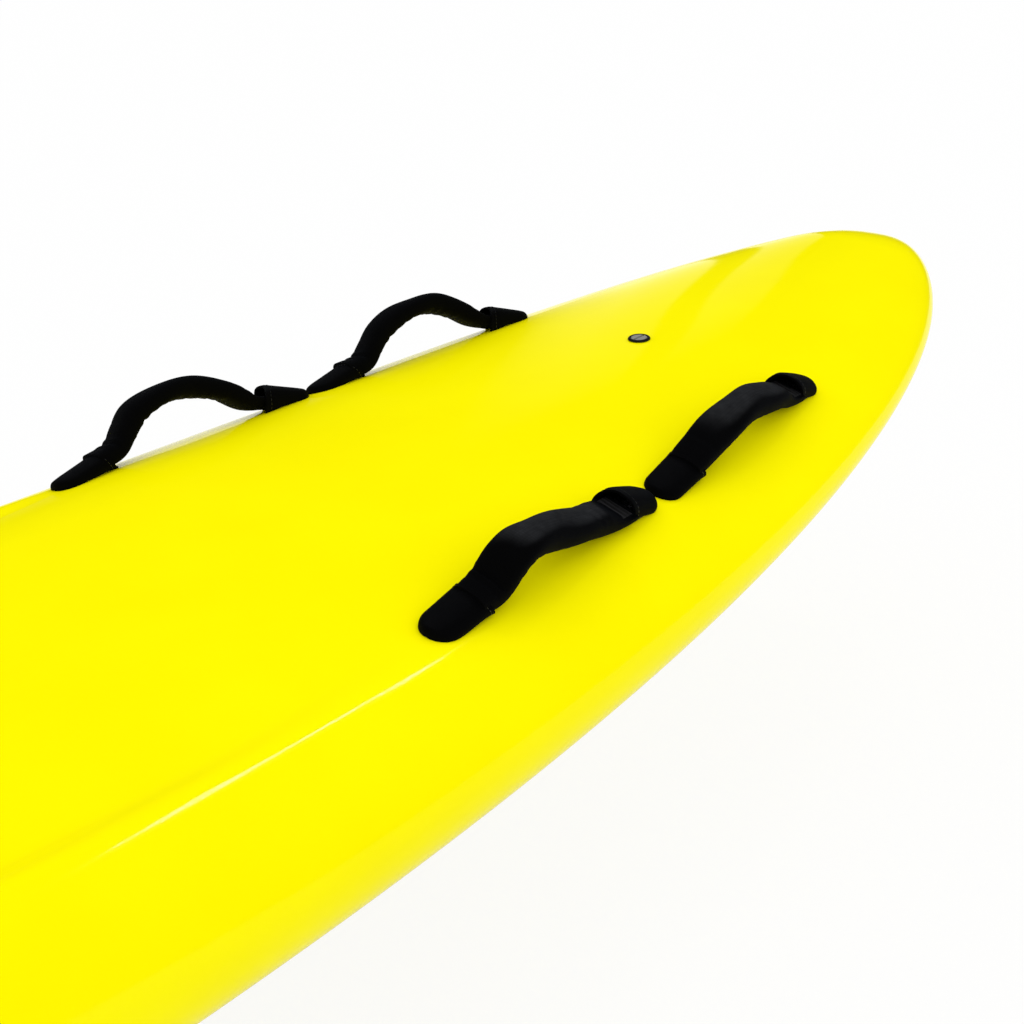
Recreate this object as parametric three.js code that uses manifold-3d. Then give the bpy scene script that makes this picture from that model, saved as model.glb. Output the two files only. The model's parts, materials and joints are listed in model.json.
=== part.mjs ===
// Lifeguard rescue board with padded handles, vent plug and fin, in millimetres.
// +X points to the nose, +Y to port and +Z up; the origin is on the flat of the hull bottom.
import * as THREE from 'three';
import { mergeVertices } from 'three/addons/utils/BufferGeometryUtils.js';
import Module from 'manifold-3d';

const wasm = await Module();
wasm.setup();

// Board
const boardLength = 3200;
const boardWidth = 580;
const boardThickness = 173;
const noseThickness = 28;
const tailThickness = 34;
const noseLift = 202;
const tailLift = 62;
const flatAhead = 200;
const flatBehind = 260;
const noseRounding = 80;
const tailRounding = 90;
const endCrown = 16;
// How far in from either end the crown grows and the dish fades
const crownStart = 1580;
const crownEnd = 1000;
const dishDepth = 15;
const dishFadeStart = 1100;
const dishFadeEnd = 800;
const noseOutlinePowers = [3.26, 1.75];
const tailOutlinePowers = [2.7, 1.85];
const rockerPower = 1.98;
const depthPower = 2.2;
const crownPower = 2.6;
const railShare = 0.5;
const slopeSpan = 8;
const crestShare = 0.795;
const creaseShare = 0.68;
const bilgeShare = 0.44;
const floorShare = 0.36;
const keelShare = 0.24;

// Laminate, core and what is bedded in it
const skinThickness = 2.5;
const gap = 0.3;
const overrun = 30;
const stringerThickness = 6;
const backingWidth = 64;
const backingThickness = 18;
const backingMargin = 12;

// Handles
const handleLength = 255;
const noseToHandles = 396;
const hoodTipGap = 3;
const tailToHandles = 720;
const handleRowShare = 0.719;
const gripWidth = 32;
const gripThickness = 17.5;
const gripHeight = 46;
const gripEndShare = 0.86;
const gripRoundness = 2.7;
const strapWidth = 25;
const strapThickness = 2.4;
const strapClearance = 0.4;
const strapEndInset = 17;
const strapFlatInset = 32;
const strapRunInset = 36.5;
const hoodWall = 3;
const hoodSink = 12;
const hoodClearance = 0.6;
const hoodAftLength = 56;
const hoodAftTopLength = 44;
const hoodForeLength = 40;
const hoodForeTopLength = 43;
const hoodTipWidth = 30;
const hoodTipHeight = 10;
const hoodTipRadius = 15;
const hoodForeRise = 3;
const hoodFootShare = 0.42;
const hoodTipShare = 0.35;
const hoodStepShares = [0, 0.03, 0.1, 0.25, 0.6, 1];
const hoodRoundness = 2.3;

// Handle screws
const screwHeadDiameter = 12;
const screwHeadHeight = 3;
const screwDiameter = 5;
const screwLength = 20;
const screwInset = 24.5;

// Vent plug
const noseToVent = 424;
const ventFlangeDiameter = 20;
const ventFlangeHeight = 1.8;
const ventBarrelDiameter = 17;
const ventBarrelLength = 26;
const ventHeadDiameter = 14.6;
const ventHeadHeight = 2.4;
const ventSlotWidth = 2;
const ventSlotDepth = 1.1;
const ventStudDiameter = 8;
const ventStudLength = 15;
const ventRingSection = 1.8;
const ventRingDiameter = 10.6;
const ventClearance = 0.35;
const ventSeat = 0.3;

// Grip pads
const noseToPads = 1480;
const tailToPads = 760;
const padHalfWidth = 160;
const padThickness = 5;
const padSplit = 8;
const padCorner = 60;

// Fin and its box
const tailToFin = 430;
const finBoxLength = 268;
const finBoxWidth = 26;
const finBoxDepth = 30;
const finSlotLength = 246;
const finSlotWidth = 10;
const finSlotDepth = 25;
const finGrooveWidth = 14;
const finGrooveHeight = 6;
const finGrooveCover = 12;
const finBase = 160;
const finDepth = 150;
const finThickness = 9;
const finRake = 95;
const finTipChord = 42;
const finTabHeight = 22;
const finPinDiameter = 5;
const finPinLength = 13;
const finPinInset = 14;
const finPlateSize = 12;
const finPlateThickness = 3;
const finLugLength = 22;
const finLugHeight = 3;
const finScrewDiameter = 4;
const finScrewHead = 8;
const finScrewHeadHeight = 2;
const finScrewInset = 10;
const finLugLift = 4;
const finStandoff = 0.5;
const finSlide = 0.4;
const finTaperShare = 0.55;
const finLeadShare = 0.35;
const finRakePower = 1.6;

// Facets
const noseSteps = 14;
const tailSteps = 10;
const shoulderSteps = 4;
const bilgeSteps = 4;
const gripSides = 10;
const gripSteps = 10;
const strapSteps = 15;
const hoodSides = 7;
const backingSteps = 4;
const turnSides = 20;
const smallTurnSides = 8;
const ringSides = 6;
const roundEndSteps = 6;
const padCornerSteps = 4;

// Finishes
const yellowGelcoat = { color: 0xfdf606, roughness: 0.12, metalness: 0 };
const whiteFoam = { color: 0xf2f2ee, roughness: 0.9, metalness: 0 };
const pineWood = { color: 0xd9b57c, roughness: 0.7, metalness: 0 };
const birchPly = { color: 0xc9a26a, roughness: 0.7, metalness: 0 };
const blackNeoprene = { color: 0x0b0c10, roughness: 0.75, metalness: 0 };
const blackWebbing = { color: 0x111114, roughness: 0.85, metalness: 0 };
const stainless = { color: 0xb9bcc0, roughness: 0.25, metalness: 1 };
const blackPlastic = { color: 0x0d0d0f, roughness: 0.4, metalness: 0 };
const blackRubber = { color: 0x141414, roughness: 0.9, metalness: 0 };
const greyFoam = { color: 0x3a3d42, roughness: 0.95, metalness: 0 };
const blackFin = { color: 0x151517, roughness: 0.35, metalness: 0 };
const brass = { color: 0xb08d45, roughness: 0.3, metalness: 1 };

// Places along the board, from its ends
const noseEnd = boardLength / 2;
const foremostHandleTip = noseEnd - noseToHandles;
const tailHandleTip = tailToHandles - noseEnd;
const ventPlace = noseEnd - noseToVent;
const padFront = noseEnd - noseToPads;
const padRear = tailToPads - noseEnd;
const finPlace = tailToFin - noseEnd;

const board = new THREE.Group();

// Closed shapes, joins and cuts

function solidOf(geometry) {
  const bare = geometry.clone();
  for (const name of Object.keys(bare.attributes)) {
    if (name !== 'position') bare.deleteAttribute(name);
  }
  const merged = mergeVertices(bare);
  const index = Array.from(merged.index.array);
  const kept = [];
  for (let i = 0; i < index.length; i += 3) {
    const [a, b, c] = index.slice(i, i + 3);
    if (a !== b && b !== c && c !== a) kept.push(a, b, c);
  }
  const mesh = new wasm.Mesh({
    numProp: 3,
    vertProperties: new Float32Array(merged.attributes.position.array),
    triVerts: new Uint32Array(kept),
  });
  return new wasm.Manifold(mesh);
}

function geometryOf(solid) {
  const mesh = solid.getMesh();
  const geometry = new THREE.BufferGeometry();
  const points = new Float32Array(mesh.vertProperties);
  geometry.setAttribute('position', new THREE.BufferAttribute(points, 3));
  geometry.setIndex(new THREE.BufferAttribute(new Uint32Array(mesh.triVerts), 1));
  return geometry;
}

function placed(solid, matrix) {
  return solid.transform(matrix.elements);
}

function addPiece(group, name, solid, finish) {
  const geometry = geometryOf(solid);
  geometry.computeVertexNormals();
  const mesh = new THREE.Mesh(geometry, new THREE.MeshStandardMaterial(finish));
  mesh.name = name;
  group.add(mesh);
}

function meshOf(points, triangles) {
  const geometry = new THREE.BufferGeometry();
  const flat = points.flatMap((point) => point.toArray());
  geometry.setAttribute('position', new THREE.Float32BufferAttribute(flat, 3));
  geometry.setIndex(facesOut(points, triangles));
  return geometry;
}

function facesOut(points, triangles) {
  let volume = 0;
  for (let i = 0; i < triangles.length; i += 3) {
    const [a, b, c] = triangles.slice(i, i + 3).map((k) => points[k]);
    volume += a.dot(new THREE.Vector3().crossVectors(b, c));
  }
  return volume < 0 ? triangles.reverse() : triangles;
}

// Skin over rings of points, with a flat cap at each end
function loft(rings) {
  const count = rings[0].length;
  const points = rings.flat();
  const triangles = [];
  for (let i = 0; i + 1 < rings.length; i++) {
    for (let j = 0; j < count; j++) {
      const a = i * count + j;
      const b = i * count + ((j + 1) % count);
      triangles.push(a, b, b + count, a, b + count, a + count);
    }
  }
  const last = (rings.length - 1) * count;
  for (let j = 1; j + 1 < count; j++) {
    triangles.push(0, j + 1, j, last, last + j, last + j + 1);
  }
  return solidOf(meshOf(points, triangles));
}

// Solid of revolution about Z from a closed outline of [radius, height] points
function turned(outline, sides) {
  const points = outline.map(([radius, height]) => new THREE.Vector2(radius, height));
  const geometry = new THREE.LatheGeometry([...points, points[0]], sides);
  geometry.rotateX(Math.PI / 2);
  const flat = mergeVertices(onlyPositions(geometry));
  const places = [];
  const position = flat.attributes.position;
  for (let i = 0; i < position.count; i++) {
    places.push(new THREE.Vector3().fromBufferAttribute(position, i));
  }
  return solidOf(meshOf(places, Array.from(flat.index.array)));
}

function onlyPositions(geometry) {
  const bare = geometry.clone();
  bare.deleteAttribute('normal');
  bare.deleteAttribute('uv');
  return bare;
}

function block(length, width, height, x, y, z) {
  const geometry = new THREE.BoxGeometry(length, width, height);
  geometry.translate(x, y, z);
  return solidOf(geometry);
}

// Upright prism over an outline of [x, y] points
function prism(outline, low, high) {
  const shape = new THREE.Shape(outline.map(([x, y]) => new THREE.Vector2(x, y)));
  const geometry = new THREE.ExtrudeGeometry(shape, { depth: high - low, bevelEnabled: false });
  geometry.translate(0, 0, low);
  return solidOf(geometry);
}

// Form of the board

function smooth(value, start, end) {
  const t = Math.min(Math.max((value - start) / (end - start), 0), 1);
  return t * t * (3 - 2 * t);
}

function lengthShare(x) {
  return Math.min(Math.abs(x) / (boardLength / 2), 1);
}

function halfWidth(x) {
  const [along, across] = x > 0 ? noseOutlinePowers : tailOutlinePowers;
  return (boardWidth / 2) * (1 - lengthShare(x) ** along) ** (1 / across);
}

function bottomHeight(x) {
  const [lift, flat] = x > 0 ? [noseLift, flatAhead] : [tailLift, flatBehind];
  const rise = Math.max(Math.abs(x) - flat, 0) / (boardLength / 2 - flat);
  return lift * rise ** rockerPower;
}

function depth(x) {
  const end = x > 0 ? noseThickness : tailThickness;
  return end + (boardThickness - end) * (1 - lengthShare(x) ** depthPower);
}

function endRolloff(x) {
  const rounding = x > 0 ? noseRounding : tailRounding;
  const inward = Math.min((boardLength / 2 - Math.abs(x)) / rounding, 1);
  return Math.sqrt(1 - (1 - inward) ** 2);
}

function railHeight(x) {
  return bottomHeight(x) + railShare * depth(x);
}

// Height of the deck at x, at a share of the half width from the centreline
function deckAt(x, share) {
  const inward = boardLength / 2 - Math.abs(x);
  const crown = 1 - smooth(inward, crownEnd, crownStart);
  const past = Math.max(share - crestShare, 0) / (1 - crestShare);
  const shoulder = Math.sqrt(1 - past ** 2);
  const dome = Math.sqrt(1 - share ** crownPower);
  const dish = dishDepth * smooth(inward, dishFadeEnd, dishFadeStart);
  const sunk = dish * (1 - smooth(share, creaseShare, crestShare));
  const top = (1 - railShare) * depth(x) + endCrown * crown - sunk;
  return railHeight(x) + top * (shoulder * (1 - crown) + dome * crown) * endRolloff(x);
}

function bottomAt(x, share) {
  const past = Math.max(share - bilgeShare, 0) / (1 - bilgeShare);
  const drop = railShare * depth(x) * Math.sqrt(1 - past ** 2) * endRolloff(x);
  return railHeight(x) - drop;
}

function deckHeight(x, y) {
  return deckAt(x, Math.min(Math.abs(y) / halfWidth(x), 1));
}

// Shares of the half width where a section has its points, from the centreline to the rail
function arcShares(start, steps) {
  return Array.from({ length: steps }, (_, i) => {
    return start + (1 - start) * Math.sin((Math.PI / 2) * ((i + 1) / steps));
  });
}

const deckShares = [0, floorShare, creaseShare, (creaseShare + crestShare) / 2, crestShare];
deckShares.push(...arcShares(crestShare, shoulderSteps));
const bottomShares = [0, keelShare, bilgeShare, ...arcShares(bilgeShare, bilgeSteps)];
const railToRail = 2 * (deckShares.length - 1);

function stations() {
  const places = [];
  for (let i = tailSteps; i > 0; i--) {
    places.push((-boardLength / 2) * Math.sin((Math.PI / 2) * (i / tailSteps)));
  }
  for (let i = 0; i <= noseSteps; i++) {
    places.push((boardLength / 2) * Math.sin((Math.PI / 2) * (i / noseSteps)));
  }
  return places;
}

// One section: over the deck from the port rail to the other, and back along the bottom
function sectionAt(x) {
  const width = halfWidth(x);
  const ring = [];
  for (const share of [...deckShares].reverse()) {
    ring.push(new THREE.Vector3(x, share * width, deckAt(x, share)));
  }
  for (const share of deckShares.slice(1)) {
    ring.push(new THREE.Vector3(x, -share * width, deckAt(x, share)));
  }
  for (const share of [...bottomShares].reverse().slice(1)) {
    ring.push(new THREE.Vector3(x, -share * width, bottomAt(x, share)));
  }
  for (const share of bottomShares.slice(1, -1)) {
    ring.push(new THREE.Vector3(x, share * width, bottomAt(x, share)));
  }
  return ring;
}

// The board's rings of points, moved inwards by inset along the normals of its surface
function boardRings(inset) {
  const rings = stations().map(sectionAt);
  const count = rings[0].length;
  const inner = rings.slice(1, -1);
  const points = [rings[0][0], ...inner.flat(), rings[rings.length - 1][0]];
  const point = (i, j) => {
    if (i === 0) return 0;
    return i > inner.length ? points.length - 1 : 1 + (i - 1) * count + (j % count);
  };
  const triangles = [];
  for (let i = 0; i + 1 < rings.length; i++) {
    for (let j = 0; j < count; j++) {
      triangles.push(point(i, j), point(i, j + 1), point(i + 1, j + 1));
      triangles.push(point(i, j), point(i + 1, j + 1), point(i + 1, j));
    }
  }
  const geometry = meshOf(points, triangles);
  geometry.computeVertexNormals();
  const normal = geometry.attributes.normal;
  return rings.map((ring, i) => {
    return ring.map((place, j) => {
      const out = new THREE.Vector3().fromBufferAttribute(normal, point(i, j));
      return place.clone().addScaledVector(out, -inset);
    });
  });
}

function boardSolid(inset) {
  return loft(boardRings(inset));
}

// Shell between two sets of rings, from one place round the ring to another, its rims lowered
function shell(outer, inner, from, to, lowered) {
  const count = to - from + 1;
  const pick = (ring) => Array.from({ length: count }, (_, k) => {
    const place = ring[(from + k) % ring.length].clone();
    const onRim = k === 0 || k === count - 1;
    return onRim ? place.setZ(place.z - lowered) : place;
  });
  const points = [...outer.flatMap(pick), ...inner.flatMap(pick)];
  const within = points.length / 2;
  const triangles = [];
  for (let i = 0; i + 1 < outer.length; i++) {
    for (let k = 0; k + 1 < count; k++) {
      const a = i * count + k;
      const faces = [a, a + 1, a + 1 + count, a, a + 1 + count, a + count];
      triangles.push(...faces, ...faces.map((corner) => corner + within).reverse());
    }
    const near = i * count;
    const far = near + count - 1;
    triangles.push(near, near + count, near + count + within, near, near + count + within, near + within);
    triangles.push(far + count, far, far + within, far + count, far + within, far + count + within);
  }
  return solidOf(meshOf(points, triangles));
}

// Frame on the deck: X along the given direction, Z out of the deck
function frameAlong(rear, front, out) {
  const along = front.clone().sub(rear).normalize();
  const up = out.clone().addScaledVector(along, -out.dot(along)).normalize();
  const across = new THREE.Vector3().crossVectors(up, along);
  const middle = rear.clone().add(front).divideScalar(2);
  return new THREE.Matrix4().makeBasis(along, across, up).setPosition(middle);
}

function deckNormal(x, y) {
  const along = deckHeight(x + slopeSpan, y) - deckHeight(x - slopeSpan, y);
  const across = deckHeight(x, y + slopeSpan) - deckHeight(x, y - slopeSpan);
  return new THREE.Vector3(-along, -across, 2 * slopeSpan).normalize();
}

function groupAt(matrix) {
  const group = new THREE.Group();
  group.applyMatrix4(matrix);
  board.add(group);
  return group;
}

// Round hole, its facets outside the circle so that a shaft of that size clears them
function hole(diameter, low, high, sides) {
  const radius = diameter / 2 / Math.cos(Math.PI / sides);
  const geometry = new THREE.CylinderGeometry(radius, radius, high - low, sides);
  geometry.rotateX(Math.PI / 2);
  geometry.translate(0, 0, (low + high) / 2);
  return solidOf(geometry);
}

// Handles

function rowPoint(x, side) {
  const y = side * handleRowShare * halfWidth(x);
  return new THREE.Vector3(x, y, deckHeight(x, y));
}

// Frame of a handle whose front tip lies at frontX on the port or starboard row
function handleFrame(frontX, side) {
  const front = rowPoint(frontX, side);
  const rear = rowPoint(frontX - handleLength, side);
  const middle = (front.x + rear.x) / 2;
  const rowMiddle = rowPoint(middle, side);
  return frameAlong(rear, front, deckNormal(middle, rowMiddle.y)).setPosition(rowMiddle);
}

// Strap line in the handle's own frame: flat on the deck at its ends, bowed up between. Each
// handle has kept its own bow: broad, full, steep behind and easing forwards, or pressed low.
const bowAlongShares = [-0.32, -0.26, -0.205, -0.155, -0.06, 0.03, 0.1, 0.176, 0.26, 0.343];
const broadBowShares = [0.2, 0.28, 0.55, 0.78, 0.92, 0.92, 0.83, 0.64, 0.32, 0.2];
const fullBowShares = [0.2, 0.23, 0.47, 0.69, 0.89, 0.93, 0.89, 0.69, 0.37, 0.2];
const steepBowShares = [0.2, 0.27, 0.6, 0.74, 0.67, 0.55, 0.44, 0.31, 0.24, 0.21];
const lowBowShares = [0.2, 0.34, 0.46, 0.54, 0.62, 0.61, 0.54, 0.43, 0.28, 0.22];

function bowPoints(bowShares) {
  return bowAlongShares.map((along, i) => {
    return new THREE.Vector3(along * handleLength, 0, bowShares[i] * gripHeight);
  });
}

function strapLine(bowShares) {
  const low = gap + strapThickness / 2;
  const half = handleLength / 2;
  const at = (end, inset, height) => new THREE.Vector3(end * (half - inset), 0, height);
  const points = [
    at(-1, strapEndInset, low), at(-1, strapFlatInset, low), at(-1, strapRunInset, low + strapThickness),
    ...bowPoints(bowShares),
    at(1, strapRunInset, low + strapThickness), at(1, strapFlatInset, low), at(1, strapEndInset, low),
  ];
  return new THREE.CatmullRomCurve3(points, false, 'centripetal').getSpacedPoints(strapSteps);
}

function gripLine(bowShares) {
  const curve = new THREE.CatmullRomCurve3(bowPoints(bowShares), false, 'centripetal');
  return curve.getSpacedPoints(gripSteps);
}

// Ring of points square to a line in the XZ plane, from a section of [across, up] points
function ringsAlong(line, sectionOf) {
  return line.map((place, i) => {
    const before = line[Math.max(i - 1, 0)];
    const after = line[Math.min(i + 1, line.length - 1)];
    const along = after.clone().sub(before).normalize();
    const up = new THREE.Vector3(-along.z, 0, along.x);
    return sectionOf(i).map(([across, height]) => {
      return place.clone().addScaledVector(up, height).add(new THREE.Vector3(0, across, 0));
    });
  });
}

function strapSolid(bowShares, clearance) {
  const across = strapWidth / 2 + clearance;
  const up = strapThickness / 2 + clearance;
  const section = [[across, -up], [across, up], [-across, up], [-across, -up]];
  return loft(ringsAlong(strapLine(bowShares), () => section));
}

function roundedSection(width, height, power) {
  return Array.from({ length: gripSides }, (_, i) => {
    const angle = (2 * Math.PI * (i + 0.5)) / gripSides;
    const bulge = (value) => Math.sign(value) * Math.abs(value) ** (2 / power);
    return [(width / 2) * bulge(Math.cos(angle)), (height / 2) * bulge(Math.sin(angle))];
  });
}

function gripSolid(bowShares, clearance) {
  const width = gripWidth + 2 * clearance;
  const height = gripThickness + 2 * clearance;
  const sectionOf = (i) => {
    const scale = i === 0 || i === gripSteps ? gripEndShare : 1;
    return roundedSection(scale * width, scale * height, gripRoundness);
  };
  return loft(ringsAlong(gripLine(bowShares), sectionOf));
}

// Height of a hood at its mouth: snug over the grip behind, and standing open in front
function hoodHeight(bowShares, end) {
  const endShare = bowShares[end > 0 ? bowShares.length - 1 : 0];
  const snug = endShare * gripHeight + gripThickness / 2 + hoodWall + hoodClearance;
  return end > 0 ? snug + hoodForeRise : snug;
}

// Hood over a strap end, from its tip towards the grip; end is -1 aft and 1 fore
function hoodForm(bowShares, end, wall) {
  const tip = (end * handleLength) / 2;
  const length = end > 0 ? hoodForeLength : hoodAftLength;
  const reach = length + overrun;
  const mouthWidth = gripEndShare * gripWidth + 2 * (hoodWall + hoodClearance);
  const mouthHeight = hoodHeight(bowShares, end);
  const rings = hoodStepShares.map((step) => {
    const inward = wall + (reach - wall) * step;
    const share = Math.min(inward / length, 1);
    const width = hoodTipWidth + (mouthWidth - hoodTipWidth) * share;
    const height = hoodTipHeight + (mouthHeight - hoodTipHeight) * share;
    const past = Math.max(1 - (inward - wall) / (hoodTipRadius - wall), 0);
    const round = Math.max(Math.sqrt(1 - past ** 2), hoodTipShare);
    const axis = (mouthHeight - hoodWall - gripThickness / 2) * smooth(share, 0, 1);
    return hoodRing(tip - end * inward, (width - 2 * wall) * round, (height - wall) * round, axis * round);
  });
  return loft(rings);
}

// Section of a hood: an arch that stands on its axis height and draws in below it
function hoodRing(along, width, height, axis) {
  const arch = Array.from({ length: hoodSides + 1 }, (_, i) => {
    const angle = (Math.PI * i) / hoodSides;
    const across = Math.sign(Math.cos(angle)) * Math.abs(Math.cos(angle)) ** (2 / hoodRoundness);
    const up = Math.sin(angle) ** (2 / hoodRoundness);
    return new THREE.Vector3(along, (across * width) / 2, axis + up * (height - axis));
  });
  const foot = (hoodFootShare * width) / 2;
  const feet = [-foot, foot].map((across) => new THREE.Vector3(along, across, -hoodSink));
  return [...arch, ...feet];
}

// Slanted cut of the hood's mouth, square to the strap as it rises
function mouthCut(bowShares, end) {
  const tip = (end * handleLength) / 2;
  const size = handleLength;
  const length = end > 0 ? hoodForeLength : hoodAftLength;
  const lean = length - (end > 0 ? hoodForeTopLength : hoodAftTopLength);
  const geometry = new THREE.BoxGeometry(size, size, size);
  geometry.translate((-end * size) / 2, 0, 0);
  geometry.rotateY(-end * Math.atan2(lean, hoodHeight(bowShares, end)));
  geometry.translate(tip - end * length, 0, 0);
  return solidOf(geometry);
}

function screwPlace(end) {
  return end * (handleLength / 2 - screwInset);
}

function screwHole(end, clearance) {
  const foot = screwSeat() - screwLength - clearance;
  const room = hole(screwDiameter + 2 * clearance, foot, strapThickness + overrun, smallTurnSides);
  return room.translate([screwPlace(end), 0, 0]);
}

function screwSeat() {
  return 2 * gap + strapThickness;
}

function screwSolid() {
  const seat = screwSeat();
  const shank = screwDiameter / 2;
  const point = seat - screwLength;
  return turned([
    [0, seat + screwHeadHeight],
    [screwHeadDiameter / 4, seat + screwHeadHeight],
    [screwHeadDiameter / 2, seat + screwHeadHeight / 3],
    [screwHeadDiameter / 2, seat],
    [shank, seat],
    [shank, point + screwDiameter],
    [0, point],
  ], smallTurnSides);
}

// Local copy of the board, grown by the gap, that trims what lies on the deck
function deckTrim(frame) {
  return placed(grownBoard, frame.clone().invert());
}

function addHandle(name, frame, bowShares) {
  const group = groupAt(frame);
  const trim = deckTrim(frame);
  const grip = gripSolid(bowShares, 0).subtract(strapSolid(bowShares, strapClearance));
  const keepOut = gripSolid(bowShares, gap).add(strapSolid(bowShares, gap));
  const strap = strapSolid(bowShares, 0).subtract(screwHole(-1, gap)).subtract(screwHole(1, gap));
  addPiece(group, `${name}_strap`, strap.subtract(trim), blackWebbing);
  addPiece(group, `${name}_sleeve`, grip.subtract(trim), blackNeoprene);
  for (const [end, where] of [[-1, 'aft'], [1, 'fore']]) {
    const shellForm = hoodForm(bowShares, end, 0).subtract(hoodForm(bowShares, end, hoodWall));
    const open = shellForm.subtract(mouthCut(bowShares, end)).subtract(keepOut);
    addPiece(group, `${name}_hood_${where}`, open.subtract(trim), blackNeoprene);
    const screw = screwSolid().translate([screwPlace(end), 0, 0]);
    addPiece(group, `${name}_screw_${where}`, screw, stainless);
  }
}

const handlePitch = handleLength + hoodTipGap;
const foreHandleTip = foremostHandleTip - handlePitch;
const handles = [
  ['port_bow', foremostHandleTip, 1, fullBowShares],
  ['port_fore', foreHandleTip, 1, broadBowShares],
  ['port_tail', tailHandleTip, 1, fullBowShares],
  ['starboard_bow', foremostHandleTip, -1, lowBowShares],
  ['starboard_fore', foreHandleTip, -1, steepBowShares],
  ['starboard_tail', tailHandleTip, -1, fullBowShares],
].map(([name, frontX, side, bowShares]) => ({ name, frame: handleFrame(frontX, side), bowShares }));

function screwCuts(clearance) {
  return handles.flatMap(({ frame }) => [-1, 1].map((end) => placed(screwHole(end, clearance), frame)));
}

// Plywood backing under a row of handle screws, bedded in the core against the deck skin
function backingForm(rearX, frontX, side, clearance) {
  const rings = [];
  for (let i = 0; i <= backingSteps; i++) {
    const from = rearX - clearance;
    const x = from + ((frontX + clearance - from) * i) / backingSteps;
    const middle = rowPoint(x, side);
    const half = backingWidth / 2 + clearance;
    const low = middle.z - skinThickness - gap - backingThickness - clearance;
    const high = middle.z + overrun;
    rings.push([
      new THREE.Vector3(x, middle.y - half, low), new THREE.Vector3(x, middle.y + half, low),
      new THREE.Vector3(x, middle.y + half, high), new THREE.Vector3(x, middle.y - half, high),
    ]);
  }
  return loft(rings);
}

const backings = [];
for (const [sideName, side] of [['port', 1], ['starboard', -1]]) {
  const inset = screwInset - backingMargin;
  const foreRear = foreHandleTip - handleLength + inset;
  backings.push([`${sideName}_fore_backing`, foreRear, foremostHandleTip - inset, side]);
  const tailRear = tailHandleTip - handleLength + inset;
  backings.push([`${sideName}_tail_backing`, tailRear, tailHandleTip - inset, side]);
}

// Vent plug

function ventFrame() {
  const on = (x) => new THREE.Vector3(x, 0, deckHeight(x, 0));
  const frame = frameAlong(on(ventPlace - slopeSpan), on(ventPlace + slopeSpan), deckNormal(ventPlace, 0));
  return frame.setPosition(on(ventPlace));
}

function addVent(frame) {
  const group = groupAt(frame);
  const base = ventSeat;
  const top = base + ventFlangeHeight;
  const barrel = ventBarrelDiameter / 2;
  const recess = ventHeadDiameter / 2 + ventClearance;
  const ledge = top - ventHeadHeight - ventRingSection;
  const bore = ventStudDiameter / 2 + ventClearance;
  const rim = ventFlangeDiameter / 2;
  const foot = base - ventBarrelLength;
  const body = turned([
    [bore, foot], [barrel, foot], [barrel, base], [rim, base], [rim, top - ventFlangeHeight / 2],
    [rim - ventFlangeHeight / 2, top], [recess, top], [recess, ledge], [bore, ledge],
  ], turnSides);
  addPiece(group, 'vent_body', body, blackPlastic);
  const head = ventHeadDiameter / 2;
  const stud = ventStudDiameter / 2;
  const under = top - ventHeadHeight;
  const screw = turned([
    [0, top], [head - ventHeadHeight / 4, top], [head, top - ventHeadHeight / 4], [head, under],
    [stud, under], [stud, under - ventStudLength + stud / 2], [stud / 2, under - ventStudLength],
    [0, under - ventStudLength],
  ], turnSides);
  const slot = block(ventHeadDiameter + overrun, ventSlotWidth, 2 * ventSlotDepth, 0, 0, top);
  addPiece(group, 'vent_screw', screw.subtract(slot), stainless);
  const section = ventRingSection / 2 - gap;
  const ring = new THREE.TorusGeometry(ventRingDiameter / 2, section, ringSides, turnSides);
  ring.translate(0, 0, ledge + ventRingSection / 2);
  addPiece(group, 'vent_ring', solidOf(ring), blackRubber);
}

// Grip pads on the floor of the dish

function padOutline(side) {
  const near = (side * padSplit) / 2;
  const arc = Array.from({ length: padCornerSteps + 1 }, (_, i) => {
    const angle = (Math.PI / 2) * (i / padCornerSteps);
    return [padCorner * (1 - Math.cos(angle)), padHalfWidth - padCorner * (1 - Math.sin(angle))];
  });
  const front = arc.map(([inward, out]) => [padFront - inward, side * out]);
  const rear = arc.map(([inward, out]) => [padRear + inward, side * out]).reverse();
  const outline = [[padRear, near], [padFront, near], ...front, ...rear];
  return side > 0 ? outline : outline.reverse();
}

function addPad(name, side) {
  const layer = boardSolid(-gap - padThickness).subtract(grownBoard);
  const plan = prism(padOutline(side), boardThickness / 2, boardThickness + overrun);
  addPiece(board, name, layer.intersect(plan), greyFoam);
}

// Fin and fin box

function finFrame() {
  const height = (x) => bottomAt(x, 0);
  const slope = (height(finPlace + slopeSpan) - height(finPlace - slopeSpan)) / (2 * slopeSpan);
  const frame = new THREE.Matrix4().makeRotationY(-Math.atan(slope));
  return frame.setPosition(finPlace, 0, height(finPlace));
}

function roundEnded(length, width, low, high) {
  const shape = new THREE.Shape();
  const [x, y] = [length / 2 - width / 2, width / 2];
  shape.absarc(x, 0, y, -Math.PI / 2, Math.PI / 2, false);
  shape.absarc(-x, 0, y, Math.PI / 2, (3 * Math.PI) / 2, false);
  const options = { depth: high - low, bevelEnabled: false, curveSegments: roundEndSteps };
  const geometry = new THREE.ExtrudeGeometry(shape, options);
  geometry.translate(0, 0, low);
  return solidOf(geometry);
}

function finBoxForm(clearance) {
  const length = finBoxLength + 2 * clearance;
  const width = finBoxWidth + 2 * clearance;
  return roundEnded(length, width, -clearance, finBoxDepth + clearance);
}

function finBoxSolid() {
  const slot = roundEnded(finSlotLength, finSlotWidth, -overrun, finSlotDepth);
  const middle = finGrooveCover + finGrooveHeight / 2;
  const groove = block(finSlotLength - finSlotWidth, finGrooveWidth, finGrooveHeight, 0, 0, middle);
  return finBoxForm(0).subtract(slot).subtract(groove);
}

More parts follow.
